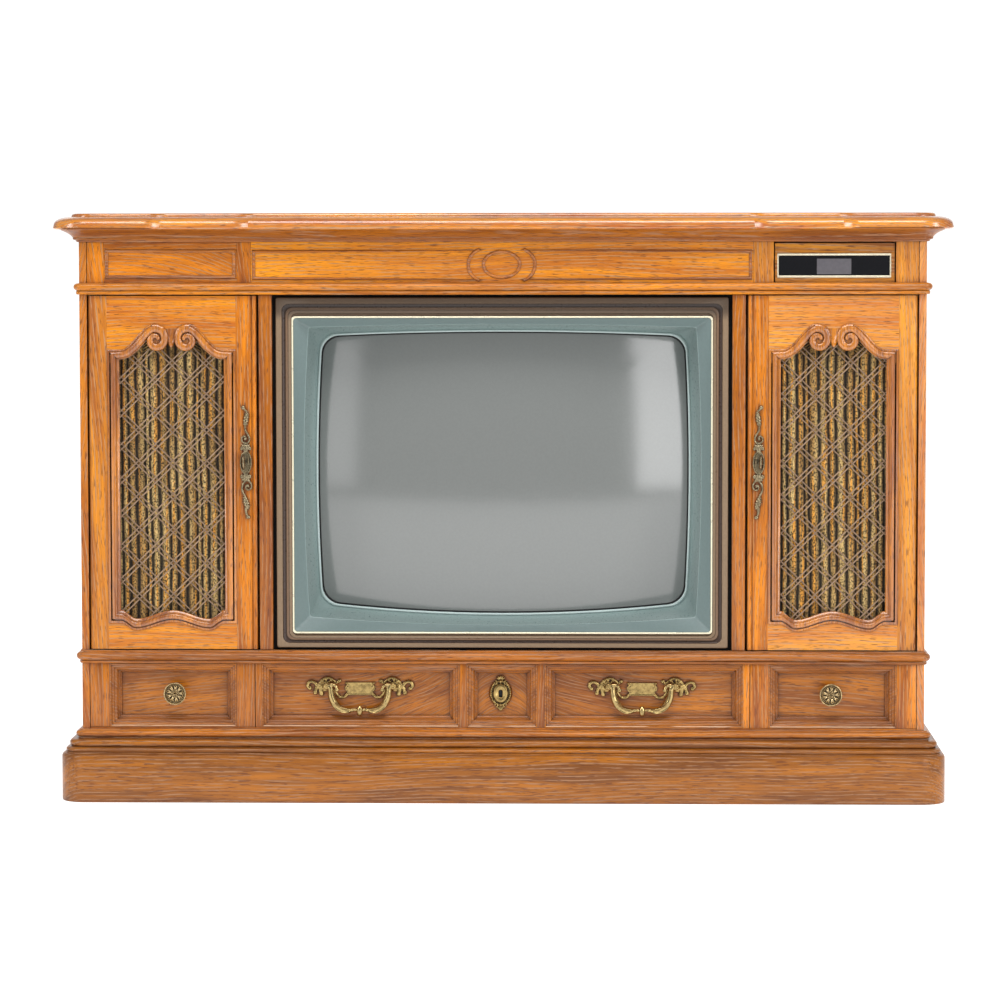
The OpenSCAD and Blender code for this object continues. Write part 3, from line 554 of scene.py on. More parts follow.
# Cornice oak painted darker: partly painted shade under the top's overhang.
OAK_COVE_SHADED = wood("oak cornice", "x", 5, (184, 108, 20), (132, 68, 16), run=True, glaze_and_shade=0.9)
OAK_PLINTH = wood("oak plinth", "x", 6, (180, 106, 12), (122, 68, 14), run=True, arch=0.01, wear_and_highlight=0.7,
                  coat=0.1, glaze_and_shade=0.6)
OAK_TOP = wood("oak top", "x", 21, (242, 152, 18), (186, 96, 20), glaze_and_shade=0.5, coat=1.0, gloss=0.22,
               polish=0.22, lacquer=1.8)
OAK_SLANT = wood("oak slanted", "x", 22, tilt=14, arch=1.2, middle=-452)
OAK_SLOPE = wood("oak sloping upright", "z", 20, tilt=8)
OAK_FRIEZE = wood("oak frieze", "x", 23, (252, 160, 24), (200, 114, 24), arch=0.03, glaze_and_shade=0.5)
# The right door's outer stile and the frieze's right-hand blocks: their own board, painted paler and greyer,
# partly a painted sheen from the right lamp.
OAK_Z_LIT = wood("oak upright, pale", "z", 24, (236, 154, 44), (178, 102, 32), tilt=2)
OAK_STILE = wood("oak left stile", "z", 25, (230, 144, 30), (168, 92, 24), tilt=6, arch=0.05)
OAK_RAIL = wood("oak rail", "x", 26, (236, 146, 20), (192, 104, 24), arch=0.3, middle=-452)
# The right door's rails: their own board, painted paler, partly a painted sheen from the right lamp.
OAK_RAIL_LIT = wood("oak rail, pale", "x", 27, (240, 160, 58), (204, 118, 42), arch=0.2, middle=452)
OAK_GRILLE = wood("oak grille moulding", "z", 28, (212, 128, 26), (152, 82, 18), glaze_and_shade=1.0, coat=1.0,
                  gloss=0.24, lacquer=1.65, open_grain=0.35)
OAK_BEAD = wood("oak bead", "x", 29, (196, 116, 32), (146, 82, 26), glaze_and_shade=1.0, coat=0.5)
OAK_STEP = wood("oak stepped moulding", "x", 30, (190, 112, 26), (140, 78, 22), glaze_and_shade=1.0, wear_and_highlight=0.9)
OAK_POST = wood("oak post", "z", 19, (196, 112, 10), (136, 70, 12))
DRAWERS = [(0.2, -452, 5), (-1.25, -310, -2), (16, 0, 0), (-0.9, 300, 3), (0.3, 452, -4)]
DRAWER_OAKS = [wood("oak drawer %d" % (i + 1), "x", 31 + i, (208, 124, 16), (150, 82, 16), tilt, arch, middle)
               for i, (arch, middle, tilt) in enumerate(DRAWERS)]
RAW = wood("raw pine board", "x", 8, (206, 170, 106), (176, 136, 82), glaze_and_shade=0.5, gloss=0.7)
FASCIA = wood("fascia wood", "x", 9, (222, 146, 36), (142, 80, 20), pitch=6, glaze_and_shade=0.3)
HARDBOARD = plain("hardboard", (112, 78, 52), 0.85, grain=0.16, size=260)
BRASS = brass("antique brass", (176, 150, 96), (88, 70, 44), 0.21)
BRIGHT_BRASS = brass("rubbed brass", (184, 160, 108), (98, 80, 52), 0.16)
DARK_BRASS = brass("dark brass", (150, 136, 108), (86, 72, 52), 0.24)
KNOB_BRASS = brass("knob brass", (200, 176, 132), (112, 92, 64), 0.22, reach=0.0022)
# Pivot pin brass painted dark: partly painted shade in the gap above the doors.
HINGE_SHADED = plain("hinge brass", (84, 68, 44), 0.4, 0.8)
BROWN = plain("brown plastic", (136, 113, 88), 0.42, hollow=0.6, dark=(40, 26, 18), shade=0.7)
# The two browns below are darker copies of the mask's brown plastic: painted shade and duller reflection on
# its stepped faces.
BROWN_SHADED_DEEP = plain("brown plastic, deep", (72, 52, 42), 0.3, hollow=0.7, dark=(30, 20, 14), shade=0.6)
BROWN_SHADED_MID = plain("brown plastic, stepped", (120, 94, 72), 0.34, hollow=0.7, dark=(34, 24, 17), shade=0.6)
GOLD = plain("gold trim", (250, 242, 212), 0.3, 0.35, grain=0.03, size=120)
TEAL = plain("teal plastic", (114, 131, 130), 0.34, grain=0.03)
# The two teals below are lighter copies of the teal plastic: a painted reflection on the flare, and a painted
# highlight on the lip by the glass.
TEAL_FLARE_LIT = plain("teal plastic, flare", (132, 150, 148), 0.3, grain=0.02)
TEAL_LIP_HIGHLIGHT = plain("teal plastic, lip", (196, 212, 210), 0.25, grain=0.02)
GLASS = plain("screen glass", (121, 124, 122), 0.12, grain=0.02, IOR=1.9)
COATING = plain("tube coating", (36, 36, 38), 0.6)
STEEL = plain("bright steel", (176, 178, 180), 0.35, 0.9)
COPPER = plain("yoke copper", (176, 92, 48), 0.4, 0.8, size=900)
GREEN = plain("circuit board", (52, 96, 58), 0.5, grain=0.12)
BLACK = plain("black plastic", (26, 26, 28), 0.45)
PAPER = plain("speaker paper", (40, 37, 36), 0.9, grain=0.2)
GREY = plain("display grey", (96, 94, 100), 0.4)
SMOKED = plain("smoked window", (12, 13, 18), 0.12)
WIRE = plain("lattice wire", (142, 116, 92), 0.42)
# A lighter copy of the wire: the wires of one direction are painted paler, as a painted highlight.
WIRE_LIT = plain("lattice wire, pale", (162, 134, 108), 0.38)
RUBBER = plain("black rubber", (14, 14, 15), 0.6)
# Black sheet that stands in for the shade in the gap round the mask.
SHADOW_SHEET = plain("black felt", (12, 11, 11), 0.95, grain=0.3)
BRIGHT_TRIM = plain("bright trim", (244, 236, 208), 0.25, 0.35, grain=0.02)
KEY = plain("grey keys", (96, 96, 98), 0.45)
CLOTH = gathered_cloth()

dress(OAK_X, "bottom_board")
dress(OAK_SIDE, "left_side_panel")
dress(OAK_SIDE_LIT, "right_side_panel")
dress(RAW, "dividers", "plinth_frame")
dress(HARDBOARD, "speaker_baffles", "back_cover")
dress(PAPER, "woofers", "tweeters")
dress(STEEL, "back_cover_screws", "tuner_module", "rim_band")
dress(BLACK, "ac_inlet", "chassis_tray", "flyback_transformer", "neck_board", "key_plate")
dress(COATING, "tube_funnel")
dress(COPPER, "deflection_yoke")
dress(GREEN, "circuit_board")
dress(FASCIA, "control_fascia")
dress(GREY, "display_module")
dress(HINGE_SHADED, "door_pivot_pins")


# ---- Top ----

CUSPS = (342, 463)                         # where the top's front edge has a cusp
TOP_HALF = TOP_HIGH.x - 2.6


def top_front(inset):
    """Right half of the top's front edge, from the middle outwards, drawn in by inset."""
    slant, bend, slope, step, corner = 3, 22, 0.54, 7.4, 46
    dip, reach = 1.8, 14                   # how far the edge is drawn in beside a cusp, on its inner side
    y = TOP_LOW.y + inset
    points = []
    for k, cusp in enumerate(CUSPS):
        for i in range(6):
            t = 1 - i / 5
            points.append((cusp - 0.2 * inset - reach * t, y + step * k + dip * (1 - (1 - t) ** 2)))
        for i in range(12):
            t = i / 11
            back = slope * (slant + bend * (t - t * t / 2))
            points.append((cusp - 0.2 * inset + slant + bend * t, y + step * k + min(step + dip, back)))
    radius = corner - 0.6 * inset
    return points + arc(TOP_HALF - inset - radius, y + 2 * step + dip + radius, radius, -90, 0, 18)


# Edge of the top from its underside upwards: distance drawn in, and height above the underside
TOP_EDGE = [(13, -2), (7.5, -1.9), (3.4, -1.4), (0.9, -0.4), (0, 1.2), (0.3, 3.2), (0.8, 5.4), (1.4, 7.6),
            (2.6, 9.8), (5, 12), (8.6, 13.9), (13.2, 15.2), (18, 16), (21.6, 16.3), (22, 15.8), (23.4, 15.8),
            (23.8, 16.4), (24.2, 18), (25, 19.6), (26.4, 20.6), (29, 21)]


def top_board():
    shape = Shape()
    rings = []
    for inset, rise, _ in curve([(inset, rise, 0) for inset, rise in TOP_EDGE], 2):
        right = top_front(inset)
        side = TOP_HALF - inset
        outline = right + [(side, TOP_HIGH.y), (-side, TOP_HIGH.y)] + [(-x, y) for x, y in right[::-1]]
        rings.append([(x, y, TOP_LOW.z + rise) for x, y in outline])
    shape.loft(rings)
    shape.piece("top_board", OAK_TOP, "oak_case", ["top_panel"], angle=33)


# ---- Mouldings round the case ----

def bead(out, z, radius, start, end, steps=7):
    """Round part of a moulding's profile, as (out, height) points."""
    return arc(out, z, radius, start, end, steps)


def around_case(profile, back):
    """A moulding that runs along one side, round the front and back along the other. profile is a list of
    (out, height) points, out from the case's faces; its corners are turned about a point inside the case."""
    core = 5
    places = [((-HALF + core, back), 180)]
    places += [((-HALF + core, FRONT + core), 180 + 90 * i / 10) for i in range(11)]
    places += [((HALF - core, FRONT + core), 270 + 90 * i / 10) for i in range(11)]
    places += [((HALF - core, back), 360)]
    closed = [(-4, profile[0][1])] + profile + [(-4, profile[-1][1])]
    rings = []
    for (x, y), turn in places:
        a = math.radians(turn)
        rings.append([(x + (core + out) * math.cos(a), y + (core + out) * math.sin(a), z)
                      for out, z in closed])
    return Shape().loft(rings)


def case_mouldings():
    proud = 29.2
    cornice = [(3.4, 766), (3.8, 766.4), (4.8, 768.4), (7.6, 769), (8.6, 770), (8.8, 772.4), (9.8, 773.2),
               (11.4, 775), (14.4, 777.2), (18.0, 779.1), (22.0, 780.8), (24.8, 782), (26.4, 783), (27, 784)]
    upper = [(3.6, 694.4), (4.8, 695), (5, 698.6), (4, 699.6)] + bead(3.4, 704.8, 4.9, -72, 80) + [(2, 710)]
    lower = [(2.6, 189), (3.6, 189.6), (3.8, 192.4), (3, 193.4)] + bead(2.9, 199, 5.4, -75, 78)
    lower += [(3, 205.2), (3, 207)]
    base = [(6.6, 85), (6.6, 86.6), (5.4, 87.4)] + bead(5.4, 92, 4.4, -80, 76) + [(4.6, 97.4), (4.2, 98.6)]
    plinth = [(proud - 1.5, 0), (proud - 0.4, 0.5), (proud, 2), (proud, 61.5), (proud - 0.5, 63.8),
              (proud - 2.2, 65.6), (proud - 4.8, 66.4), (proud - 5.2, 67.6)]
    plinth += bead(proud - 8.6, 70.8, 2.9, -55, 70, 6) + [(proud - 9.2, 74.4), (proud - 11, 74.7)]
    plinth += bead(proud - 15.8, 79.8, 5.0, -62, 88, 8) + [(proud - 18, 85)]
    rows = [("cornice", cornice, "cornice_moulding", OAK_COVE_SHADED),
            ("upper_bead", upper, "upper_bead_moulding", OAK_UPPER),
            ("lower_bead", lower, "lower_bead_moulding", OAK_LOWER),
            ("base_bead", base, "base_moulding", OAK_RUN), ("plinth", plinth, "plinth_moulding", OAK_PLINTH)]
    for name, profile, node, oak in rows:
        back = span(node)[1].y
        around_case(profile, back).piece(name, oak, "oak_moulding", [node], angle=30)


# ---- Frieze ----

def frieze():
    low, high = span("frieze_board")
    open_low, open_high = span("control_fascia")
    beads = span("frieze_beading")
    left, right, bottom, top = open_low.x - 1.8, open_high.x + 1.8, open_low.z - 0.6, open_high.z + 2.0
    bead_low, bead_high = beads[0].z + 2, beads[1].z - 0.5
    boards = [(-END, -543, low.z, high.z, 1), (-543, -361, low.z, bead_low, 0),
              (-543, -361, bead_low, bead_high, 2), (-543, -361, bead_high, high.z, 0),
              (-361, -342, low.z, high.z, 1), (-342, 342, low.z, high.z, 3), (342, left, low.z, high.z, 4),
              (left, right, low.z, bottom, 0), (left, right, top, high.z, 0), (right, END, low.z, high.z, 4)]
    shape = Shape()
    for x0, x1, z0, z1, slot in boards:
        shape.use(slot).board((x0, low.y, z0), (x1, high.y, z1), 0.35, 1)
    shape.piece("frieze", [OAK_X, OAK_SLOPE, OAK_SLANT, OAK_FRIEZE, OAK_Z_LIT], "oak_case", ["frieze_board"])


BEAD = [(-0.3, 0.5), (-0.3, -0.2), (0.3, -1.3), (1.3, -1.9), (2.5, -1.9), (3.5, -1.3), (4.1, -0.2),
        (4.1, 0.5)]


def frieze_beads():
    bead = [(d, FRONT + y) for d, y in BEAD]
    shape = Shape()
    surround(shape, rectangle(-541, -363, 716.5, 755.5), bead)
    left = [(-340, 714.5)] + arc(-23.3, 734.5, 20.2, 262, 98, 16) + [(-340, 754.5)]
    surround(shape, left, bead)
    surround(shape, [(-x, z) for x, z in left[::-1]], bead)
    turns = [math.radians(a) for a in range(0, 360, 8)]
    surround(shape, [(26.7 * math.cos(a), 735 + 19.5 * math.sin(a)) for a in turns], bead)
    shape.piece("frieze_beads", OAK_BEAD, "oak_moulding", ["frieze_beading"], angle=50)


# ---- Front posts, apron ----

def front_posts():
    low, high = span("posts")
    shape = Shape()
    shape.board((POST_INNER, low.y, low.z), high, 1.2, 3)
    shape.take(shape.mirrored())
    shape.piece("front_posts", OAK_POST, "oak_case", ["posts"])


OPENINGS = [(-539, -365), (-329.5, -58.5), (-48, 48), (58.5, 329.5), (365, 539)]


def apron():
    low, high = span("apron_board")
    open_low, open_high = span("apron_mouldings")
    shape = Shape()
    for side in (-1, 1):
        for x0, x1 in ((539, END), (339.6, 365), (329.5, 338.8), (48, 58.5)):
            a, b = sorted((side * x0, side * x1))
            shape.use(1 if side > 0 and x0 > 300 else 0)
            shape.board((a, low.y, open_low.z), (b, high.y, high.z), 0.6, 2)
    shape.use(2).board((-END, low.y, low.z), (END, high.y, open_low.z - 0.1), 0.5, 1)
    shape.board((-END, low.y + 2, open_high.z - 1), (END, high.y, high.z), 0.3, 1)
    shape.piece("apron_frame", [OAK_POST, OAK_Z, OAK_X], "oak_case", ["apron_board"])

    steps = [(0, -0.3), (1.6, -0.3), (2.1, 1), (2.5, 2.4), (4.4, 3), (5.4, 4.2), (5.8, 6.4), (6.3, 6.9),
             (7.6, 7.4), (8.8, 9), (9.6, 11.6), (10, 14.4), (10.4, 15.1), (11.6, 15.5), (12, 17.8),
             (12.6, 18.4), (13.4, 18.8), (14, 20.4), (14, 24.2), (0, 24.2)]
    steps = [(d, FRONT + y) for d, y in steps]
    moulding = Shape()
    for x0, x1 in OPENINGS:
        surround(moulding, rectangle(x0, x1, open_low.z, open_high.z), steps)
    moulding.piece("apron_steps", OAK_STEP, "oak_moulding", ["apron_mouldings"], angle=34)

    low, high = span("apron_panels")
    panels = Shape()
    for slot, (x0, x1) in enumerate(OPENINGS):
        panels.use(slot).board((x0 + 1, low.y, open_low.z + 1), (x1 - 1, high.y, open_high.z - 1), 0.3, 1)
    panels.piece("drawer_panels", DRAWER_OAKS, "oak_case", ["apron_panels"])


# ---- Doors ----

PIVOT = 560                                # distance of a door's pivot from the middle
RAIL_END = 88.1                            # half width of a door's rails
OPENING = [(-80, 601), (-80, 612), (-64, 612), (-36, 636), (36, 636), (64, 612), (80, 612), (80, 601)]


def crest(u):
    """Height of the arch's outer edge, u from the grille's middle."""
    t = min(1, max(0, (70 - abs(u)) / 46))
    return 619 + 35 * t * t * (3 - 2 * t)


def scallop(u):
    """How far the bottom edge dips or rises, u from the grille's middle."""
    u = abs(u)
    if u > 71:
        return 0.0
    if u > 51:
        return -5 * (1 - math.cos(math.pi * (71 - u) / 20))
    return -5 * (1 - math.cos(math.pi * u / 51)) + 0.8 * (1 + math.cos(math.pi * u / 51))


def door_boards(shape):
    """Right door's stiles and rails: slots 0 outer stile, 1 inner stile, 2 rails."""
    x, back = GRILLE_X, DOOR_HIGH.y
    low, high = DOOR_LOW.z, DOOR_HIGH.z
    y = FRONT
    outer = [(x + RAIL_END, back), (x + RAIL_END, y)]
    outer += [(PIVOT + 6 * math.sin(math.radians(a)), y + 6 - 6 * math.cos(math.radians(a)))
              for a in range(0, 91, 15)] + [(DOOR_HIGH.x, back)]
    shape.use(0).prism(outer, low, high)
    edge = DOOR_LOW.x
    bead = [(edge + 3.2 - 3.2 * math.cos(math.radians(a)), y + 3.2 - 3.2 * math.sin(math.radians(a)))
            for a in range(0, 136, 15)]
    inner = [(edge, back)] + bead + [(edge + 6.6, y + 1.7), (edge + 7.2, y + 1.7), (edge + 7.8, y),
                                     (x - RAIL_END, y), (x - RAIL_END, back)]
    shape.use(1).prism(inner[::-1], low, high)
    shape.use(2)
    top = [(-RAIL_END, high), (-RAIL_END, 601)] + OPENING + [(RAIL_END, 601), (RAIL_END, high)]
    shape.prism([(x + u, z) for u, z in top], y, back, "y")
    shape.prism(rectangle(x - RAIL_END, x + RAIL_END, low, 246.5), y, back, "y")
    for side in (-1, 1):
        a, b = sorted((x + side * 80, x + side * RAIL_END))
        shape.prism(rectangle(a, b, 246.5, 601), y + 0.2, back, "y")


# Moulding round the grille: share of the way from its outer edge to its inner one, and depth
GRILLE_STEPS = [(0, 0.3), (0, -1.4), (0.04, -2.0), (0.19, -2.0), (0.22, 0.2), (0.28, 0.2), (0.32, -2.6),
                (0.42, -3.7), (0.52, -4.0), (0.62, -3.6), (0.7, -2.6), (0.74, -1.4), (0.76, -0.4),
                (0.83, -0.4), (0.89, 0.6), (1.0, 1.4), (1.0, 7.0), (0.56, 7.0), (0.56, 0.3)]
ARCH_STEPS = [(0, 0.3), (0, -0.9), (0.05, -1.3), (0.12, -1.3), (0.16, -0.9), (0.22, -2.4), (0.34, -3.7),
              (0.5, -4.0), (0.66, -3.7), (0.8, -2.7), (0.88, -1.2), (0.92, 0.1), (0.94, 1.2), (0.97, 1.4),
              (1.0, 1.6), (1.0, 7.0), (0.56, 7.0), (0.56, 0.3), (0.3, 0.3)]


def grille_moulding(shape):
    """Right door's moulding: straight sides, scalloped foot, arched head and two volutes."""
    wide, band = 88, 16.2

    def ring(outer, inner, steps):
        return [(GRILLE_X + outer[0] + (inner[0] - outer[0]) * t, FRONT + y,
                 outer[1] + (inner[1] - outer[1]) * t) for t, y in steps]

    foot = [((u, 244 + scallop(u)), (u * 0.985, 260 + scallop(u) + (2 if abs(u) > 68 else 0)))
            for u in range(-72, 73, 3)]
    corners = [((wide, 244), (wide - band, 262)), ((wide, 619), (wide - band, 606))]
    stations = [((-a[0], a[1]), (-b[0], b[1])) for a, b in corners[::-1]] + foot + corners
    shape.loft([ring(a, b, GRILLE_STEPS) for a, b in stations])

    for side in (-1, 1):
        rings = [ring((side * wide, 619), (side * (wide - band), 606), ARCH_STEPS)]
        for i in range(24):
            u = 71 - i * 2.1
            slope = crest(u - 0.5) - crest(u + 0.5)
            n = Vector((-slope, -1)).normalized()
            inner = (u + n.x * 13, crest(u) + n.y * 13)
            rings.append(ring((side * u, crest(u)), (side * inner[0], inner[1]), ARCH_STEPS))
        shape.loft(rings)
        volute(shape, side)
    rows = [(648, 7.5, 0.05), (640, 6.6, 0.4), (634, 5.6, 1.2), (629, 4.4, 1.9), (627, 3.9, 2.3),
            (625.4, 3.4, 2.4), (623.6, 1.9, 2.0), (622.2, 0.3, 0.6)]
    section = [(-1, 1, 0), (-1, 0, 0), (-0.5, 0, -1), (0.5, 0, -1), (1, 0, 0), (1, 1, 0)]
    shape.loft([[(GRILLE_X + half * u, FRONT + 4 * deep + lift * proud, z) for u, deep, proud in section]
                for z, half, lift in rows])


# The scroll's band: degrees wound since its top, distance of the band's middle, and the band's width
VOLUTE = [(-14, 16.6, 12.4), (30, 15.0, 12.0), (60, 12.6, 11.4), (90, 10.9, 11.0), (180, 9.6, 10.4),
          (270, 8.5, 9.4), (330, 7.0, 8.2), (370, 5.4, 7.2), (410, 3.8, 6.2), (440, 2.8, 5.4)]


def between(table, at):
    """Values interpolated from a table whose first column rises to at."""
    for a, b in zip(table, table[1:]):
        if at <= b[0]:
            t = (at - a[0]) / (b[0] - a[0])
            t = t * t * (3 - 2 * t) if b is table[-1] else t
            return [a[k] + (b[k] - a[k]) * t for k in range(1, len(a))]
    return list(table[-1][1:])


def volute(shape, side):
    """The scroll that ends one half of the arch: a rounded band that winds in over a disc."""
    cx, cz = 20.5, 632.2
    steps = 64
    rings = []
    for i in range(steps + 1):
        wound = VOLUTE[0][0] + (VOLUTE[-1][0] - VOLUTE[0][0]) * i / steps
        middle, width = between(VOLUTE, wound)
        a = math.radians(90 + wound)
        ring = []
        for k in range(16):
            b = 2 * math.pi * k / 16
            r = max(0.15, middle + width / 2 * math.cos(b))
            crown = 0.6 + 4.0 * max(0, math.sin(b)) ** 0.8 + (0.5 if wound > 330 else 0)
            depth = FRONT + 0.6 - crown if math.sin(b) > 0 else FRONT + 0.6 - 2.5 * math.sin(b)
            ring.append((GRILLE_X + side * (cx + r * math.cos(a)), depth, cz + r * math.sin(a)))
        rings.append(ring)
    shape.loft(rings)
    disc = [(GRILLE_X + side * cx + x, cz + z) for x, z in arc(0, 0, 11.5, 0, 348, 29)]
    shape.prism(disc, FRONT - 0.4, FRONT + 5, "y")


LATTICE_WIDE, LATTICE_TALL = 46.8, 45.8    # width and height of one of the lattice's diamonds


def clip_line(origin, direction, outline):
    """Where a line crosses a closed outline, as (start, end) distances along it."""
    hits = []
    for (ax, az), (bx, bz) in zip(outline, outline[1:] + outline[:1]):
        ex, ez = bx - ax, bz - az
        cross = direction[0] * ez - direction[1] * ex
        if abs(cross) < 1e-9:
            continue
        dx, dz = ax - origin[0], az - origin[1]
        t = (dx * ez - dz * ex) / cross
        s = (dx * direction[1] - dz * direction[0]) / cross
        if 0 <= s < 1:
            hits.append(t)
    hits.sort()
    return (hits[0], hits[-1]) if len(hits) > 1 else None


def lattice(shape, crossing):
    """Crossed pairs of wires, woven over and under, cut off at the grille's opening. Two pairs cross on
    the grille's middle line at the height crossing."""
    side, low, shoulder, high = 79.4, 247.2, 611.3, 635
    outline = [(-side, low), (side, low), (side, shoulder), (63, shoulder), (35, high), (-35, high),
               (-63, shoulder), (-side, shoulder)]
    across, down, apart, radius, rise = LATTICE_WIDE, LATTICE_TALL, 5.2, 0.92, 0.9
    plane = FRONT + 9.5
    middle = Vector((0, crossing))
    ways = [Vector((across, way * down)).normalized() for way in (1, -1)]
    normals = [Vector((-d.y, d.x)) for d in ways]
    gap = across * abs(ways[0].y)
    for k, way in enumerate(ways):
        for i in range(-11, 12):
            for offset in (-apart / 2, apart / 2):
                origin = middle + normals[k] * (i * gap + offset)
                cut = clip_line(origin, way, outline)
                if not cut or cut[1] - cut[0] < 6:
                    continue
                steps = max(2, int((cut[1] - cut[0]) / 3.2))
                points = []
                for n in range(steps + 1):
                    at = origin + way * (cut[0] + (cut[1] - cut[0]) * n / steps)
                    beat = (at - middle).dot(normals[1 - k]) / gap
                    over = math.cos(math.pi * (i + beat)) * (1 if k else -1)
                    points.append((GRILLE_X + at.x, plane + rise * over, at.y))
                shape.use(k).tube(points, radius, sides=6)


FOLDS = [-80.5, -70, -62, -48, -38, -32, -18, -5, 5, 19, 31, 37, 50, 61, 70, 80.5]


def cloth_depth(u, z, seed, crossing):
    """How far a gathered cloth stands behind the wires: round folds that swell a little in the lattice's
    holes, with hollows between that the cloth's colour paints black as shade."""
    drift = 1.5 * math.sin(z / 83 + seed) + 0.7 * math.sin(z / 31 + 2 * seed + u / 30)
    wave = 2 * math.pi * (z - crossing) / LATTICE_TALL
    swell = 0.6 * math.sin(2 * math.pi * u / LATTICE_WIDE) * math.cos(wave)
    v = u + (drift + swell) * (1 - (abs(u) / 81) ** 4)
    for k, (a, b) in enumerate(zip(FOLDS, FOLDS[1:])):
        if v <= b or b == FOLDS[-1]:
            t = min(1, max(0, (v - a) / (b - a)))
            crown = math.sin(math.pi * t) ** 0.85
            lean = 1.1 * math.sin(z / 90 + 2.1 * k + seed)
            return 5.3 * (1 - crown) + max(0, lean) * crown + 0.12 * math.sin(z / 7 + a)
    return 0.0


def grille_cloth(name, mirror, seed, body, node, crossing):
    low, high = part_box(node)
    x0, x1 = low.x / MM + 0.4, high.x / MM - 0.4
    z0, z1 = low.z / MM + 0.4, high.z / MM - 0.4
    columns, rows, shoulder = 190, 96, 612
    near = low.y / MM + 0.5
    mesh = bpy.data.meshes.new(name)
    verts, faces = [], []
    for j in range(rows + 1):
        z = z0 + (z1 - z0) * j / rows
        for i in range(columns + 1):
            x = x0 + (x1 - x0) * i / columns
            u = x - (x0 + x1) / 2
            limit = 1.0 if z < shoulder else max(0.44, 1 - (z - shoulder) / (z1 - shoulder) * 0.56)
            u *= limit
            depth = cloth_depth(-u if mirror else u, z, seed, crossing)
            verts.append((((x0 + x1) / 2 + u) * MM, (near + depth) * MM, z * MM))
    wide = columns + 1
    for j in range(rows):
        for i in range(columns):
            a = j * wide + i
            faces.append((a, a + 1, a + wide + 1, a + wide))
    mesh.from_pydata(verts, [], faces)
    obj = bpy.data.objects.new(name, mesh)
    bpy.context.scene.collection.objects.link(obj)
    mesh.materials.append(CLOTH)
    mesh.shade_smooth()
    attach(obj, body)
    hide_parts(node)


def doors():
    pull = door_pull()
    # On both doors the same direction of wires gets the paler wire, a painted highlight.
    wires = [WIRE_LIT, WIRE]
    rows = [(1, "right_door", [OAK_Z_LIT, OAK_Z, OAK_RAIL_LIT], wires, 532, 1.0),
            (-1, "left_door", [OAK_STILE, OAK_Z, OAK_RAIL], wires[::-1], 555, 4.3)]
    for side, name, oaks, metals, crossing, seed in rows:
        boards, moulding, net = Shape(), Shape(), Shape()
        door_boards(boards)
        grille_moulding(moulding)
        lattice(net, crossing)
        if side < 0:
            boards, moulding, net, pull = (part.mirrored() for part in (boards, moulding, net, pull))
        boards.piece(name + "_boards", oaks, "oak_case", [name + "_frame"], name, 30)
        moulding.piece(name + "_scrollwork", OAK_GRILLE, "oak_moulding", [name + "_moulding"], name, 40)
        net.piece(name + "_wires", metals, "lattice_wire", [name + "_lattice"], name, 80)
        grille_cloth(name + "_pleats", side < 0, seed, name, name + "_cloth", crossing)
        pull.piece(name + "_handle", DARK_BRASS, "antique_brass", [name + "_pull"], name, 75, 0.42)


# ---- Television front ----

def ring_loop(side, low, high, bow_side, bow_low, bow_high, corner, y, per_side=14, per_corner=6):
    """A rounded rectangle in the front plane whose edges bow outwards, as a closed loop. y is a number or
    a function of x and z."""
    points = []
    cx, cz0, cz1 = side - corner, low + corner, high - corner
    for sx, sz, start in ((1, -1, -90), (1, 1, 0), (-1, 1, 90), (-1, -1, 180)):
        centre = (sx * cx, cz1 if sz > 0 else cz0)
        points += arc(centre[0], centre[1], corner, start, start + 90, per_corner)
        ends = {(1, -1): (side, cz0, side, cz1), (1, 1): (cx, high, -cx, high),
                (-1, 1): (-side, cz1, -side, cz0), (-1, -1): (-cx, low, cx, low)}[sx, sz]
        points += [(ends[0] + (ends[2] - ends[0]) * k / per_side,
                    ends[1] + (ends[3] - ends[1]) * k / per_side) for k in range(1, per_side)]
    middle, half = (low + high) / 2, (high - low) / 2
    loop = []
    for x, z in points:
        v = (z - middle) / half
        bow = bow_high if v > 0 else bow_low
        nx = x + bow_side * (1 - v * v) * x / side
        nz = z + bow * (1 - (x / side) ** 2) * v
        loop.append((nx, y(nx, nz) if callable(y) else y, nz))
    return loop


SHADOW_SHEET_LOW, SHADOW_SHEET_HIGH = 208, 694
MASK_HALF, MASK_BOTTOM, MASK_TOP = 308.9, 210.5, 690


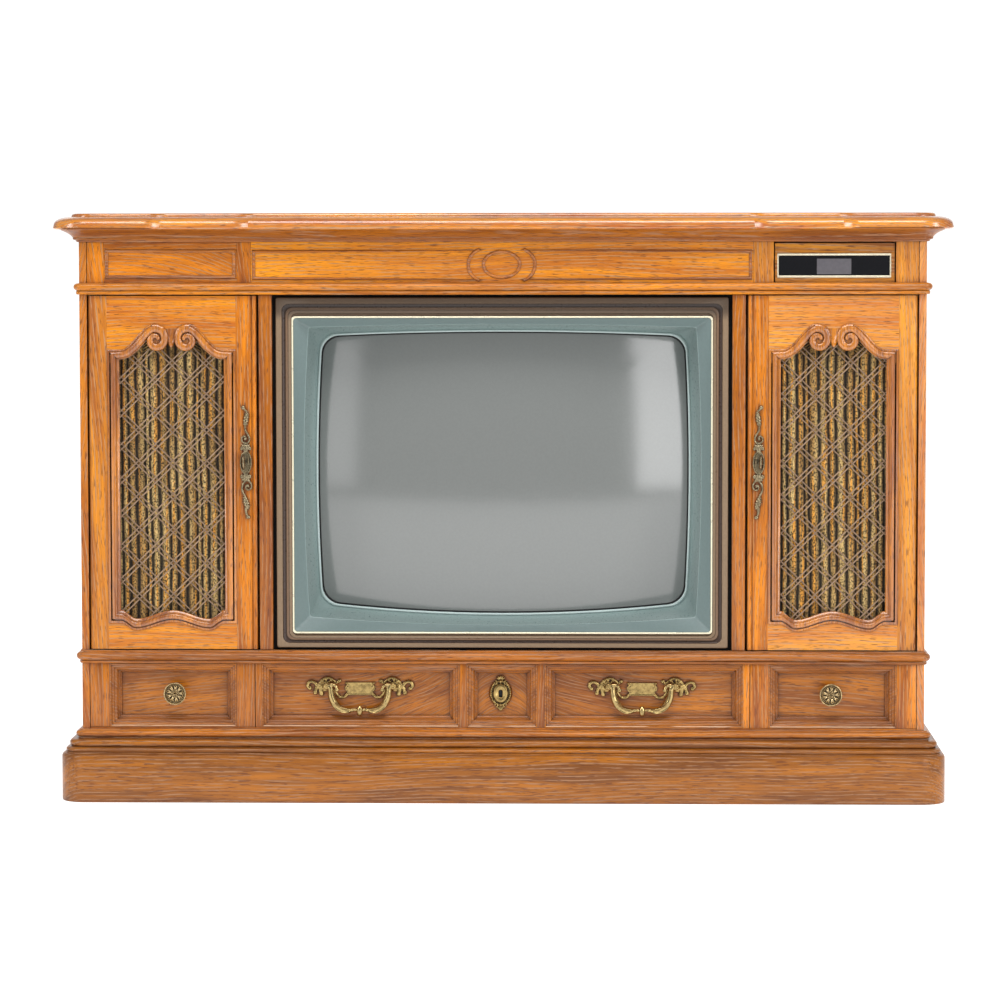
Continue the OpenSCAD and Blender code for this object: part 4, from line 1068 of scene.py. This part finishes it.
def tv_mask():
    y = MASK_Y
    steps = [(0, 16, 3, 1), (0, 1, 3, 0), (0.8, 0.1, 3.5, 0), (1.6, 0, 4, 0), (7.6, 0, 8, 0),
             (8.3, 0.8, 9, 1), (8.8, 4.2, 9, 1), (9.8, 5.0, 10, 1), (12.4, 5.2, 10, 1), (12.9, 3.9, 10, 2),
             (13.8, 3.3, 10, 2), (16.2, 3.7, 9.5, 1), (16.9, 5.6, 9, 0), (17.8, 6.2, 8.5, 0),
             (20.6, 6.6, 7.5, 1), (21.3, 8.2, 7, 2), (22.4, 8.8, 6.5, 2), (24.6, 9, 6, 1), (24.6, 16, 6, 1)]
    deep, low, high = steps[-1][0], 18.9, 25.6
    loops = [ring_loop(MASK_HALF - d, MASK_BOTTOM + d * low / deep, MASK_TOP - d * high / deep, 0, 0, 0, r,
                       y + back) for d, back, r, _ in steps]
    shape = Shape().loft(loops, along=True)
    # Slots 1 and 2 paint the mask's steps darker, as painted shade.
    shape.slots = [step[3] for step in steps for _ in loops[0]]
    shape.piece("mask_frame", [BROWN, BROWN_SHADED_DEEP, BROWN_SHADED_MID], "brown_plastic", ["tv_mask"], angle=42)

    # Painted shadow: a black sheet behind the gap round the mask, standing in for the dark inside of the
    # cabinet.
    shadow_sheet = Shape()
    profile = [(-1.5, y + 9), (7, y + 9), (7, y + 13), (-1.5, y + 13)]
    surround(shadow_sheet, rectangle(-POST_INNER, POST_INNER, SHADOW_SHEET_LOW, SHADOW_SHEET_HIGH), profile)
    shadow_sheet.piece("mask_shadow_sheet", SHADOW_SHEET, "black_plastic", angle=60)

    trim = Shape()
    front = BEZEL_Y - 2.4
    steps = [(-1.9, 9), (-1.9, 0.9), (-1.5, 0.2), (-0.8, 0), (-0.2, 0.1), (0.3, 0.6), (0.5, 1.4), (0.5, 9)]
    trim.loft([ring_loop(285.9 - d, 231.1 + d, 662.7 - d, 0, 0, 0, 4.5, front + back) for d, back in steps],
              along=True)
    trim.piece("gold_line", GOLD, "gold_trim", ["mask_trim"], angle=50)


def glass_depth(x, z, gap=0.0):
    """Depth of the glass's outer face at a point, or gap in front of it."""
    away = math.hypot(x, z - GLASS_MIDDLE)
    return GLASS_APEX + GLASS_RADIUS - math.sqrt(GLASS_RADIUS ** 2 - away ** 2) - gap


def bezel():
    ridge = BEZEL_Y + 17

    def toward(t, gap):
        """Between the ridge's depth and a little in front of the glass."""
        return lambda x, z: (1 - t) * ridge + t * glass_depth(x, z, gap)

    loops = [(285.4, 231.6, 662.2, 0, 0, 0, 3, -228, 0), (285.4, 231.6, 662.2, 0, 0, 0, 3, -238.4, 0),
             (284.9, 232.1, 661.7, 0, 0, 0, 3, -239, 0), (267, 249.2, 650.4, 7, 10.6, 3.8, 2.5, -221.8, 0),
             (266.2, 250, 649.6, 7, 10.8, 4, 2.6, -221.1, 1), (265.4, 250.8, 648.8, 7, 11, 4.2, 3, -220.4, 1),
             (262.6, 253.6, 646.2, 6.7, 11.2, 4.8, 9, toward(0.42, 6), 1),
             (259.6, 256.6, 643.4, 6.3, 11.6, 5.6, 15, toward(0.74, 6), 1),
             (256.6, 259.6, 640.6, 5.9, 12, 6.4, 19, toward(0.93, 6), 1),
             (254.4, 261.6, 638.6, 5.7, 12, 6.8, 21, toward(1, 5.4), 2),
             (253.2, 262.8, 637.4, 5.6, 12, 6.9, 22, toward(1, 7.0), 2),
             (252.0, 264.0, 636.2, 5.5, 12, 7, 22, toward(1, 6.8), 2),
             (251.2, 264.8, 635.4, 5.5, 12, 7, 22, toward(1, 5.4), 0),
             (251.2, 264.8, 635.4, 5.5, 12, 7, 22, toward(1, 1.6), 0),
             (256, 260, 640, 5.5, 12, 7, 24, toward(1, 1.6), 0),
             (268, 248, 652, 7, 10, 4, 12, toward(0.5, 0), 0)]
    shape = Shape()
    rings = [ring_loop(*loop[:8]) for loop in loops]
    shape.loft(rings, along=True)
    # Slot 1 is the flare's painted reflection, slot 2 the lip's painted highlight.
    shape.slots = [loop[8] for loop in loops for _ in rings[0]]
    shape.piece("teal_surround", [TEAL, TEAL_FLARE_LIT, TEAL_LIP_HIGHLIGHT], "teal_plastic", ["screen_bezel"], angle=26)

    glass = Shape()
    low, high = span("tube_face")
    middle = GLASS_MIDDLE
    rings = [ring_loop(high.x, low.z, high.z, 0, 0, 0, 20, high.y)]
    for i in range(14):
        t = (1 - i / 14) ** 0.9
        bottom, top = middle - (middle - low.z) * t, middle + (high.z - middle) * t
        rings.append(ring_loop(high.x * t, bottom, top, 0, 0, 0, 20 * t, glass_depth))
    glass.loft(rings)
    glass.piece("screen", GLASS, "screen_glass", ["tube_face"], angle=40)

    seal = Shape()
    rings = [(254, 262, 638, 24, 0.4), (253.4, 262.6, 637.4, 24, 1.4), (249.6, 266.4, 633.8, 22, 0.9),
             (249.2, 266.8, 633.4, 22, 0.1)]
    seal.loft([ring_loop(half, bottom, top, 5.5, 12, 7, corner, toward(1, gap))
               for half, bottom, top, corner, gap in rings], along=True)
    seal.piece("screen_seal", RUBBER, "black_plastic", angle=60)


# ---- Brass ----

def spiral(centre, start, turns, r0, r1, y0, y1, steps):
    """Points that wind in from radius r0 to r1 about a centre, start in degrees."""
    points = []
    for i in range(steps + 1):
        t = i / steps
        a = math.radians(start) + 2 * math.pi * turns * t
        r = r0 + (r1 - r0) * t
        points.append((centre[0] + r * math.cos(a), y0 + (y1 - y0) * t, centre[1] + r * math.sin(a)))
    return points


def taper(a, b, count):
    return [a + (b - a) * i / (count - 1) for i in range(count)]


def curve(points, steps):
    """A smooth Catmull-Rom line through points, with steps pieces between two of them."""
    pts = [Vector(p) for p in points]
    pts = [2 * pts[0] - pts[1]] + pts + [2 * pts[-1] - pts[-2]]
    line = []
    for a, b, c, d in zip(pts, pts[1:], pts[2:], pts[3:]):
        for k in range(steps):
            t = k / steps
            line.append(0.5 * (2 * b + (c - a) * t + (2 * a - 5 * b + 4 * c - d) * t ** 2
                               + (3 * b - a - 3 * c + d) * t ** 3))
    return line + [pts[-2]]


def leaf(shape, base, tip, width, lift, y):
    """An acanthus leaf from base to tip in the front plane: a swollen blade with raised slanting ribs."""
    ribs = 5
    base, tip = Vector(base), Vector(tip)
    along = tip - base
    side = Vector((-along.y, along.x)).normalized()
    middle = (base + tip) / 2
    turn = math.atan2(along.x, along.y)
    shape.blob((middle.x, y, middle.y), (width * 0.8, lift, along.length / 2), 14, turn)
    for i in range(ribs):
        t = (i + 0.6) / ribs
        reach = width * math.sin(math.pi * min(1, 0.15 + 0.8 * t)) ** 0.7
        at = base + along * t
        for s in (-1, 1):
            end = at + side * s * reach + along.normalized() * reach * 0.7
            shape.tube(curve([(at.x, y - lift * 0.75, at.y),
                              ((at.x + end.x) / 2, y - lift * 0.9, (at.y + end.y) / 2),
                              (end.x, y - 0.2, end.y)], 3), taper(0.75, 0.55, 7), 6)


def ovals(x, z, y, sizes, steps):
    """Rings of ellipses about (x, z): each size is half width, half height and how far it stands from y."""
    turns = [2 * math.pi * (i + 0.5) / steps - math.pi / 2 for i in range(steps)]
    return [[(x + rx * math.cos(a), y - depth, z + rz * math.sin(a)) for a in turns]
            for rx, rz, depth in sizes]


def door_pull():
    """The right door's handle; heights are from its middle, distances from its own centre line. It is
    drawn as the left door's is seen from the front, so distances count the other way."""
    x, z, y = PULL_X, PULL_Z, FRONT
    shape = Shape()

    def at(u, v, depth):
        return (x - u, y - depth, z + v)

    def stroke(rows, steps, start, end, flat=1.0):
        line = curve([at(*row) for row in rows], steps)
        shape.tube(line, taper(start, end, len(line)), 8, flat)

    shape.blob(at(-3.2, 75.2, 2.6), (3.0, 2.6, 3.2))
    stroke([(-3.0, 74, 2.4), (1.0, 70.5, 2.2), (1.4, 66, 2.2)], 8, 1.6, 1.3)
    leaf(shape, (x + 1.2, z + 48), (x - 2.2, z + 70), 4.6, 3.0, y - 1.6)
    stroke([(-0.6, 49, 2), (-0.2, 44, 2.4), (3.0, 38.5, 2.6), (5.2, 33, 2.6), (3.8, 28, 2.6),
            (-0.8, 26.4, 2.6), (-4.8, 29, 2.6), (-5.4, 33.6, 2.6), (-2.2, 36.2, 2.6), (0.6, 34.2, 2.8),
            (-0.2, 31.6, 3.0), (-1.8, 32, 3.2)], 5, 1.5, 1.2, 1.2)
    shape.blob(at(-1.0, 32.2, 3.0), (1.7, 1.8, 1.7))
    for u, v, w in ((-5.4, 19.5, 2.6), (5.2, 19.5, 2.6), (-2.6, 22.5, 2.2), (2.6, 22.5, 2.2), (0, 18.5, 3.2),
                    (-5.6, -19, 2.6), (5.4, -19, 2.6), (-2.8, -22.6, 2.2), (2.8, -22.6, 2.2),
                    (0, -18.4, 3.2)):
        shape.blob(at(u, v, 1.6), (w, 2.4, w * 1.25), 10, math.radians(20 * (1 if u > 0 else -1)))
    for v in (20, -20):
        for u in (-4, 0, 4):
            shape.tube([at(u * 0.4, v * 0.78, 3.0), at(u, v * 1.12, 3.2), at(u * 1.4, v * 1.26, 1.8)],
                       [1.0, 0.9, 0.6], 6)
    turns = [math.radians(a) for a in range(0, 360, 12)]
    shape.tube([at(7.2 * math.cos(a), 15 * math.sin(a), 2.4) for a in turns], 1.2, 8, along=True)
    shape.loft(ovals(x, z, y, [(2, 3, 0), (7.2, 15, 0), (7.2, 15, 1.4), (6.0, 12.6, 2.0), (2, 3, 2.0)], 28))
    shape.blob(at(-2.6, 0.6, 6.4), (2.7, 7.0, 10.4), 16, math.radians(3))
    shape.blob(at(3.6, 2.4, 3.4), (1.4, 2.4, 4.6), 12)
    stroke([(0.4, -24, 2.2), (-4.2, -29.6, 2.4), (-5.2, -37, 2.4), (-1.6, -45.6, 2.4), (1.8, -53, 2.2),
            (3.4, -60, 2.0)], 6, 1.5, 1.6, 1.2)
    stroke([(0.4, -24, 2.4), (4.8, -25.6, 2.6), (7.6, -30, 2.6), (6.8, -35.6, 2.6), (2.6, -37.4, 2.6),
            (-0.2, -34.4, 2.6), (0.8, -31, 2.8), (3.2, -30.6, 3.0), (3.6, -33, 3.2)], 5, 1.4, 1.0, 1.2)
    shape.blob(at(3.0, -32.4, 3.0), (1.8, 1.9, 1.8))
    leaf(shape, (x - 3.4, z - 65), (x + 2.4, z - 47), 4.9, 3.0, y - 1.6)
    stroke([(0, -62, 2.2), (0.2, -68, 2.2), (1.8, -73, 2.2)], 8, 2.4, 1.3)
    shape.blob(at(3.0, -74.8, 2.4), (3.2, 2.4, 2.6))
    return shape


def bail_plate(x):
    """The shaped plate behind one bail, with its two pivot posts."""
    z, y = BAIL_Z, PANEL_Y
    shape = Shape()

    def at(u, v, depth, s):
        return (x + s * u, y - depth, z + v)

    notched = [(-20.4, 4.6), (-17.6, 3.2), (-19.0, 0.4), (-21.8, -2.0), (-20.4, -6.4), (-17.8, -8.6),
               (-19.4, -11.6), (-15.8, -13.0)]
    outline = notched + [(-u, v) for u, v in notched[::-1]]
    for grow, depth in ((1.0, 2.0), (0.86, 2.9)):
        shape.prism([(x + u * grow, z - 4.2 + (v + 4.2) * grow) for u, v in outline], y - depth, y, "y")
    edge = [(x + u * 0.95, y - 2.3, z - 4.2 + (v + 4.2) * 0.95) for u, v in outline]
    shape.tube(edge, 0.9, 6, along=True)
    for s in (-1, 1):
        sweeps = [([(17, -11.6, 2), (22, -15.8, 2), (28, -15.6, 2), (32.4, -11.6, 2), (35.4, -5, 2)],
                   2.2, 2.4),
                  ([(28.6, 6.6, 2.4), (33, 3.8, 2.2), (37, 7.4, 2.2), (43, 10.6, 2.2), (50, 8.8, 2.2),
                    (55.4, 3, 2), (57, -3, 2)], 2.0, 2.8),
                  ([(46, -2, 2), (52, -3.4, 2), (58, -1.4, 2), (61.6, 3.2, 2), (66.6, 5.6, 2.2),
                    (71.0, 4.0, 2.2), (72.4, -0.6, 2.2), (69.4, -3.4, 2.4)], 2.8, 2.6),
                  ([(53, 1, 2), (54.4, -5, 2), (53.4, -10.4, 2)], 3.4, 3.2),
                  ([(57, 1, 2), (60.4, -4, 2), (61.4, -8.6, 2)], 3.0, 2.8)]
        for points, r0, r1 in sweeps:
            line = curve([at(*point, s) for point in points], 6)
            shape.tube(line, taper(r0, r1, len(line)), 8, flat=0.9)
        for u, v, r in ((28.6, 6.6, 3.1), (69.4, -3.6, 3.4), (61.8, -9.8, 3.5), (53.2, -11.4, 3.7),
                        (19.0, 3.4, 2.2), (19.6, -12.6, 2.0), (28.4, -15.6, 2.6)):
            shape.blob(at(u, v, 2.2, s), (r, 2.6, r), 12)
        shape.blob(at(49, -1, 1.6, s), (9.4, 2.4, 7.6), 16)
        for u, v, lean in ((41, 6.4, -0.9), (46.4, 8, -0.2), (51.6, 6.4, 0.6), (55.4, 1.6, 1.2)):
            shape.blob(at(u, v, 3.0, s), (1.4, 1.8, 3.6), 10, s * lean)
        shape.lathe([(3.6, 0), (3.6, -3), (2.6, -4.2), (2.6, -9.6), (4.3, -10.4), (4.6, -12.6), (4.0, -14),
                     (2.5, -14.8), (2.0, -13.8), (0.2, -13.8)], (x + s * 46, y, z), steps=24)
    return shape


def bail_handle(x):
    """One bail, hanging from its pivots: a moulded half ring with leaves and a bead in the middle."""
    y, z = BAIL_Y, BAIL_Z
    shape = Shape()
    for s in (-1, 1):
        def at(u, v, depth=0.0, s=s):
            return (x + s * u, y - depth, z + v)

        path = curve([at(u, v) for u, v in
                      ((43.2, 0.4), (40.6, -2.4), (39.6, -8), (38.6, -15), (35.8, -22), (30.6, -28.2),
                       (23.4, -32.2), (16.0, -33.4), (11.0, -32.8), (7.2, -32.4), (3, -32.4))], 6)
        radii = []
        for i in range(len(path)):
            t = i / (len(path) - 1)
            radii.append(3.5 + 1.5 * math.sin(math.pi * min(1, t * 1.3)) ** 1.4 if t < 0.74
                         else 3.6 - 1.4 * min(1, (t - 0.74) / 0.1))
        shape.tube(path, radii, 12, flat=0.95)
        ridges = [[(38.2, -12, 2.0), (33.6, -23.2, 4.1), (26.2, -28.6, 4.5), (18.4, -30.6, 3.9),
                   (12.6, -31.8, 2.8)],
                  [(40.0, -10, 1.8), (37.2, -24.8, 3.0), (29.2, -33.0, 3.4), (20.4, -36.2, 3.2),
                   (12.4, -33.8, 2.8)]]
        for ridge in ridges:
            shape.tube(curve([at(u, v, d + 0.3) for u, v, d in ridge], 5), 0.9, 6)
        shape.blob(at(9.4, -32.6, 0.4), (2.2, 2.9, 3.0))
        shape.blob(at(5.4, -32.6, 0.4), (1.6, 2.2, 2.2))
        curl = curve([at(43.2, 1), at(38.6, 2.4, 0.6), at(33.6, 0.8, 1), at(31.0, -3.6, 1.2)], 6)
        shape.tube(curl, taper(2.9, 2.1, len(curl)), 10)
        shape.blob(at(31.0, -4.6, 1.4), (3.1, 2.8, 3.1))
        shape.blob(at(39.6, -3.2, 1.0), (3.4, 2.9, 4.6))
    shape.blob((x, y - 0.8, z - 33.8), (4.5, 4.6, 7.6), 14)
    shape.blob((x, y - 0.8, z - 38.6), (1.7, 1.9, 1.5), 10)
    return shape


def knob(x, z):
    """A turned knob with a rim, nine petals and a small rosette."""
    y = PANEL_Y
    shape = Shape()
    shape.lathe([(9, 0), (9, -1.6), (5.4, -3.4), (5.0, -11), (8, -14), (13.6, -17.4), (15.5, -20.4),
                 (15.7, -22.6), (15.2, -23.7), (14.3, -23.8), (13.5, -22.6), (12.7, -19.8), (0.4, -19.2)],
                (x, y, z), steps=40)
    for i in range(9):
        a = 2 * math.pi * i / 9 + 0.12
        for spread in (-0.13, 0.13):
            c, s = math.cos(a + spread), math.sin(a + spread)
            shape.blob((x + 8.4 * s, y - 19.8, z + 8.4 * c), (1.35, 3.2, 3.5), 10, a + spread * 1.6)
        c, s = math.cos(a + 0.35), math.sin(a + 0.35)
        shape.blob((x + 11.2 * s, y - 19.6, z + 11.2 * c), (0.9, 2.2, 1.2), 8, a + 0.35)
    for i in range(6):
        a = 2 * math.pi * i / 6
        shape.blob((x + 2.4 * math.sin(a), y - 19.8, z + 2.4 * math.cos(a)), (0.95, 3.0, 1.7), 8, a)
    return shape


def keyhole_plate():
    """An oval escutcheon with a raised rim, a domed field, a shell above and a bud below."""
    x, z, y = KEYHOLE_X, KNOB_Z - 0.5, PANEL_Y
    shape = Shape()
    steps = 48
    hole = []
    for i in range(steps):
        a = 2 * math.pi * (i + 0.5) / steps - math.pi / 2
        u, v = math.cos(a), math.sin(a)
        hole.append((2.5 * u, 2.0 + 2.5 * v) if v > -0.35 else (max(-2.2, min(2.2, 3.6 * u)), -5.4))
    rings = [[(x + u, y - 0.4, z + v) for u, v in hole], [(x + u, y - 3.8, z + v) for u, v in hole],
             [(x + u * 1.2, y - 4.6, z + v * 1.12) for u, v in hole]]
    rings += ovals(x, z, y, [(7.2, 9.6, 5.9), (9.4, 12.2, 5.5), (10.3, 13.2, 4.3), (10.8, 13.9, 2.6),
                             (11.4, 14.6, 2.3), (12.4, 15.6, 3.6), (13.6, 16.8, 4.1), (14.9, 18, 3.2),
                             (16, 19, 1.5), (16.2, 19.3, 0)], steps)
    rings.append([(x + u * 1.3, y, z + v * 1.3) for u, v in hole])
    shape.loft(rings, along=True)
    for i in range(5):
        a = math.radians(-56 + 28 * i)
        shape.blob((x + 4.8 * math.sin(a), y - 2.6, z + 18.2 + 3.8 * math.cos(a)), (1.5, 2.4, 3.2), 10, a)
        shape.blob((x + 3.6 * math.sin(a), y - 2.4, z - 18.6 - 2.6 * math.cos(a)), (1.3, 2.2, 2.6), 10, -a)
    shape.blob((x, y - 3.4, z + 16.2), (2.6, 2.6, 2.4))
    for side in (-1, 1):
        for u, v, way in ((7.4, 14.6, 1), (6.4, -16.0, -1)):
            line = spiral((x + side * u, z + v), 90 * way, side * way * 0.9, 3.0, 1.0, y - 3.6, y - 4.2, 14)
            shape.tube(line, taper(1.3, 0.9, 15), 6)
        for v in (-9, -3, 3, 9):
            reach = 13.4 * math.sqrt(1 - (v / 17) ** 2)
            shape.blob((x + side * reach, y - 4.0, z + v), (1.3, 1.2, 2.3), 8)
    shape.blob((x, y - 3.2, z - 16.6), (2.8, 2.6, 2.6))
    shape.blob((x, y - 2.4, z - 22.6), (2.8, 2.4, 2.5))
    return shape


def furniture():
    knobs = knob(-KNOB_X, KNOB_Z)
    knobs.take(knob(KNOB_X, KNOB_Z))
    knobs.piece("rosette_knobs", KNOB_BRASS, "antique_brass", ["knobs"], fuse=0.4, angle=75)
    keyhole_plate().piece("keyhole_plate", BRASS, "antique_brass", ["escutcheon"], fuse=0.36, angle=75)
    dark = Shape()
    dark.prism([(KEYHOLE_X + x, KNOB_Z - 1.7 + 1.8 * z) for x, z in arc(0, 0, 2.9, 0, 345, 23)],
               PANEL_Y - 0.9, PANEL_Y - 0.1, "y")
    dark.piece("keyhole_shadow", RUBBER, "black_plastic")
    left, right = -BAIL_X - BAIL_SHIFT, BAIL_X
    plates = bail_plate(left).take(bail_plate(right))
    plates.piece("bail_plates", BRASS, "antique_brass", ["bail_backplates"], fuse=0.5, angle=75)
    for x, name in ((left, "left_bail"), (right, "right_bail")):
        bail_handle(x).piece(name + "_handle", BRIGHT_BRASS, "antique_brass", [name], name, 75, 0.42)


# ---- Control panel ----

def control_panel():
    low, high = span("control_window")
    y = low.y
    rim = [(0, y + 4), (0, y + 0.9), (0.5, y + 0.3), (1.2, y), (2.2, y + 0.2), (3.0, y + 0.8), (3.3, y + 1.6),
           (3.3, y + 4)]
    window = Shape()
    surround(window, rectangle(low.x, high.x, low.z, high.z), rim)
    window.use(1).board((low.x + 3, y + 1.5, low.z + 3), (high.x - 3, y + 3.4, high.z - 3), 0.2, 1)
    shown, shown_high = span("display_module")
    window.use(2).board((shown.x + 3.8, y + 1.3, shown.z + 1.8),
                        (shown_high.x - 2.5, y + 2, shown_high.z - 4), 0.2, 1)
    window.piece("window_frame", [BRIGHT_TRIM, SMOKED, GREY], "smoked_window", ["control_window"],
                 "control_window", 35)
    for name in ("power_key", "volume_down_key", "volume_up_key", "channel_down_key", "channel_up_key"):
        low, high = span(name)
        cap = Shape()
        cap.board(low, high, 0.7, 3)
        cap.board((low.x + 2, low.y - 0.01, low.z + 1.6), (high.x - 2, low.y + 0.6, low.z + 2.4), 0.1, 1)
        cap.piece(name + "_cap", KEY, "black_plastic", [name], name, 50)


top_board()
case_mouldings()
frieze()
frieze_beads()
front_posts()
apron()
doors()
tv_mask()
bezel()
furniture()
control_panel()
camera()
floor()
lights()
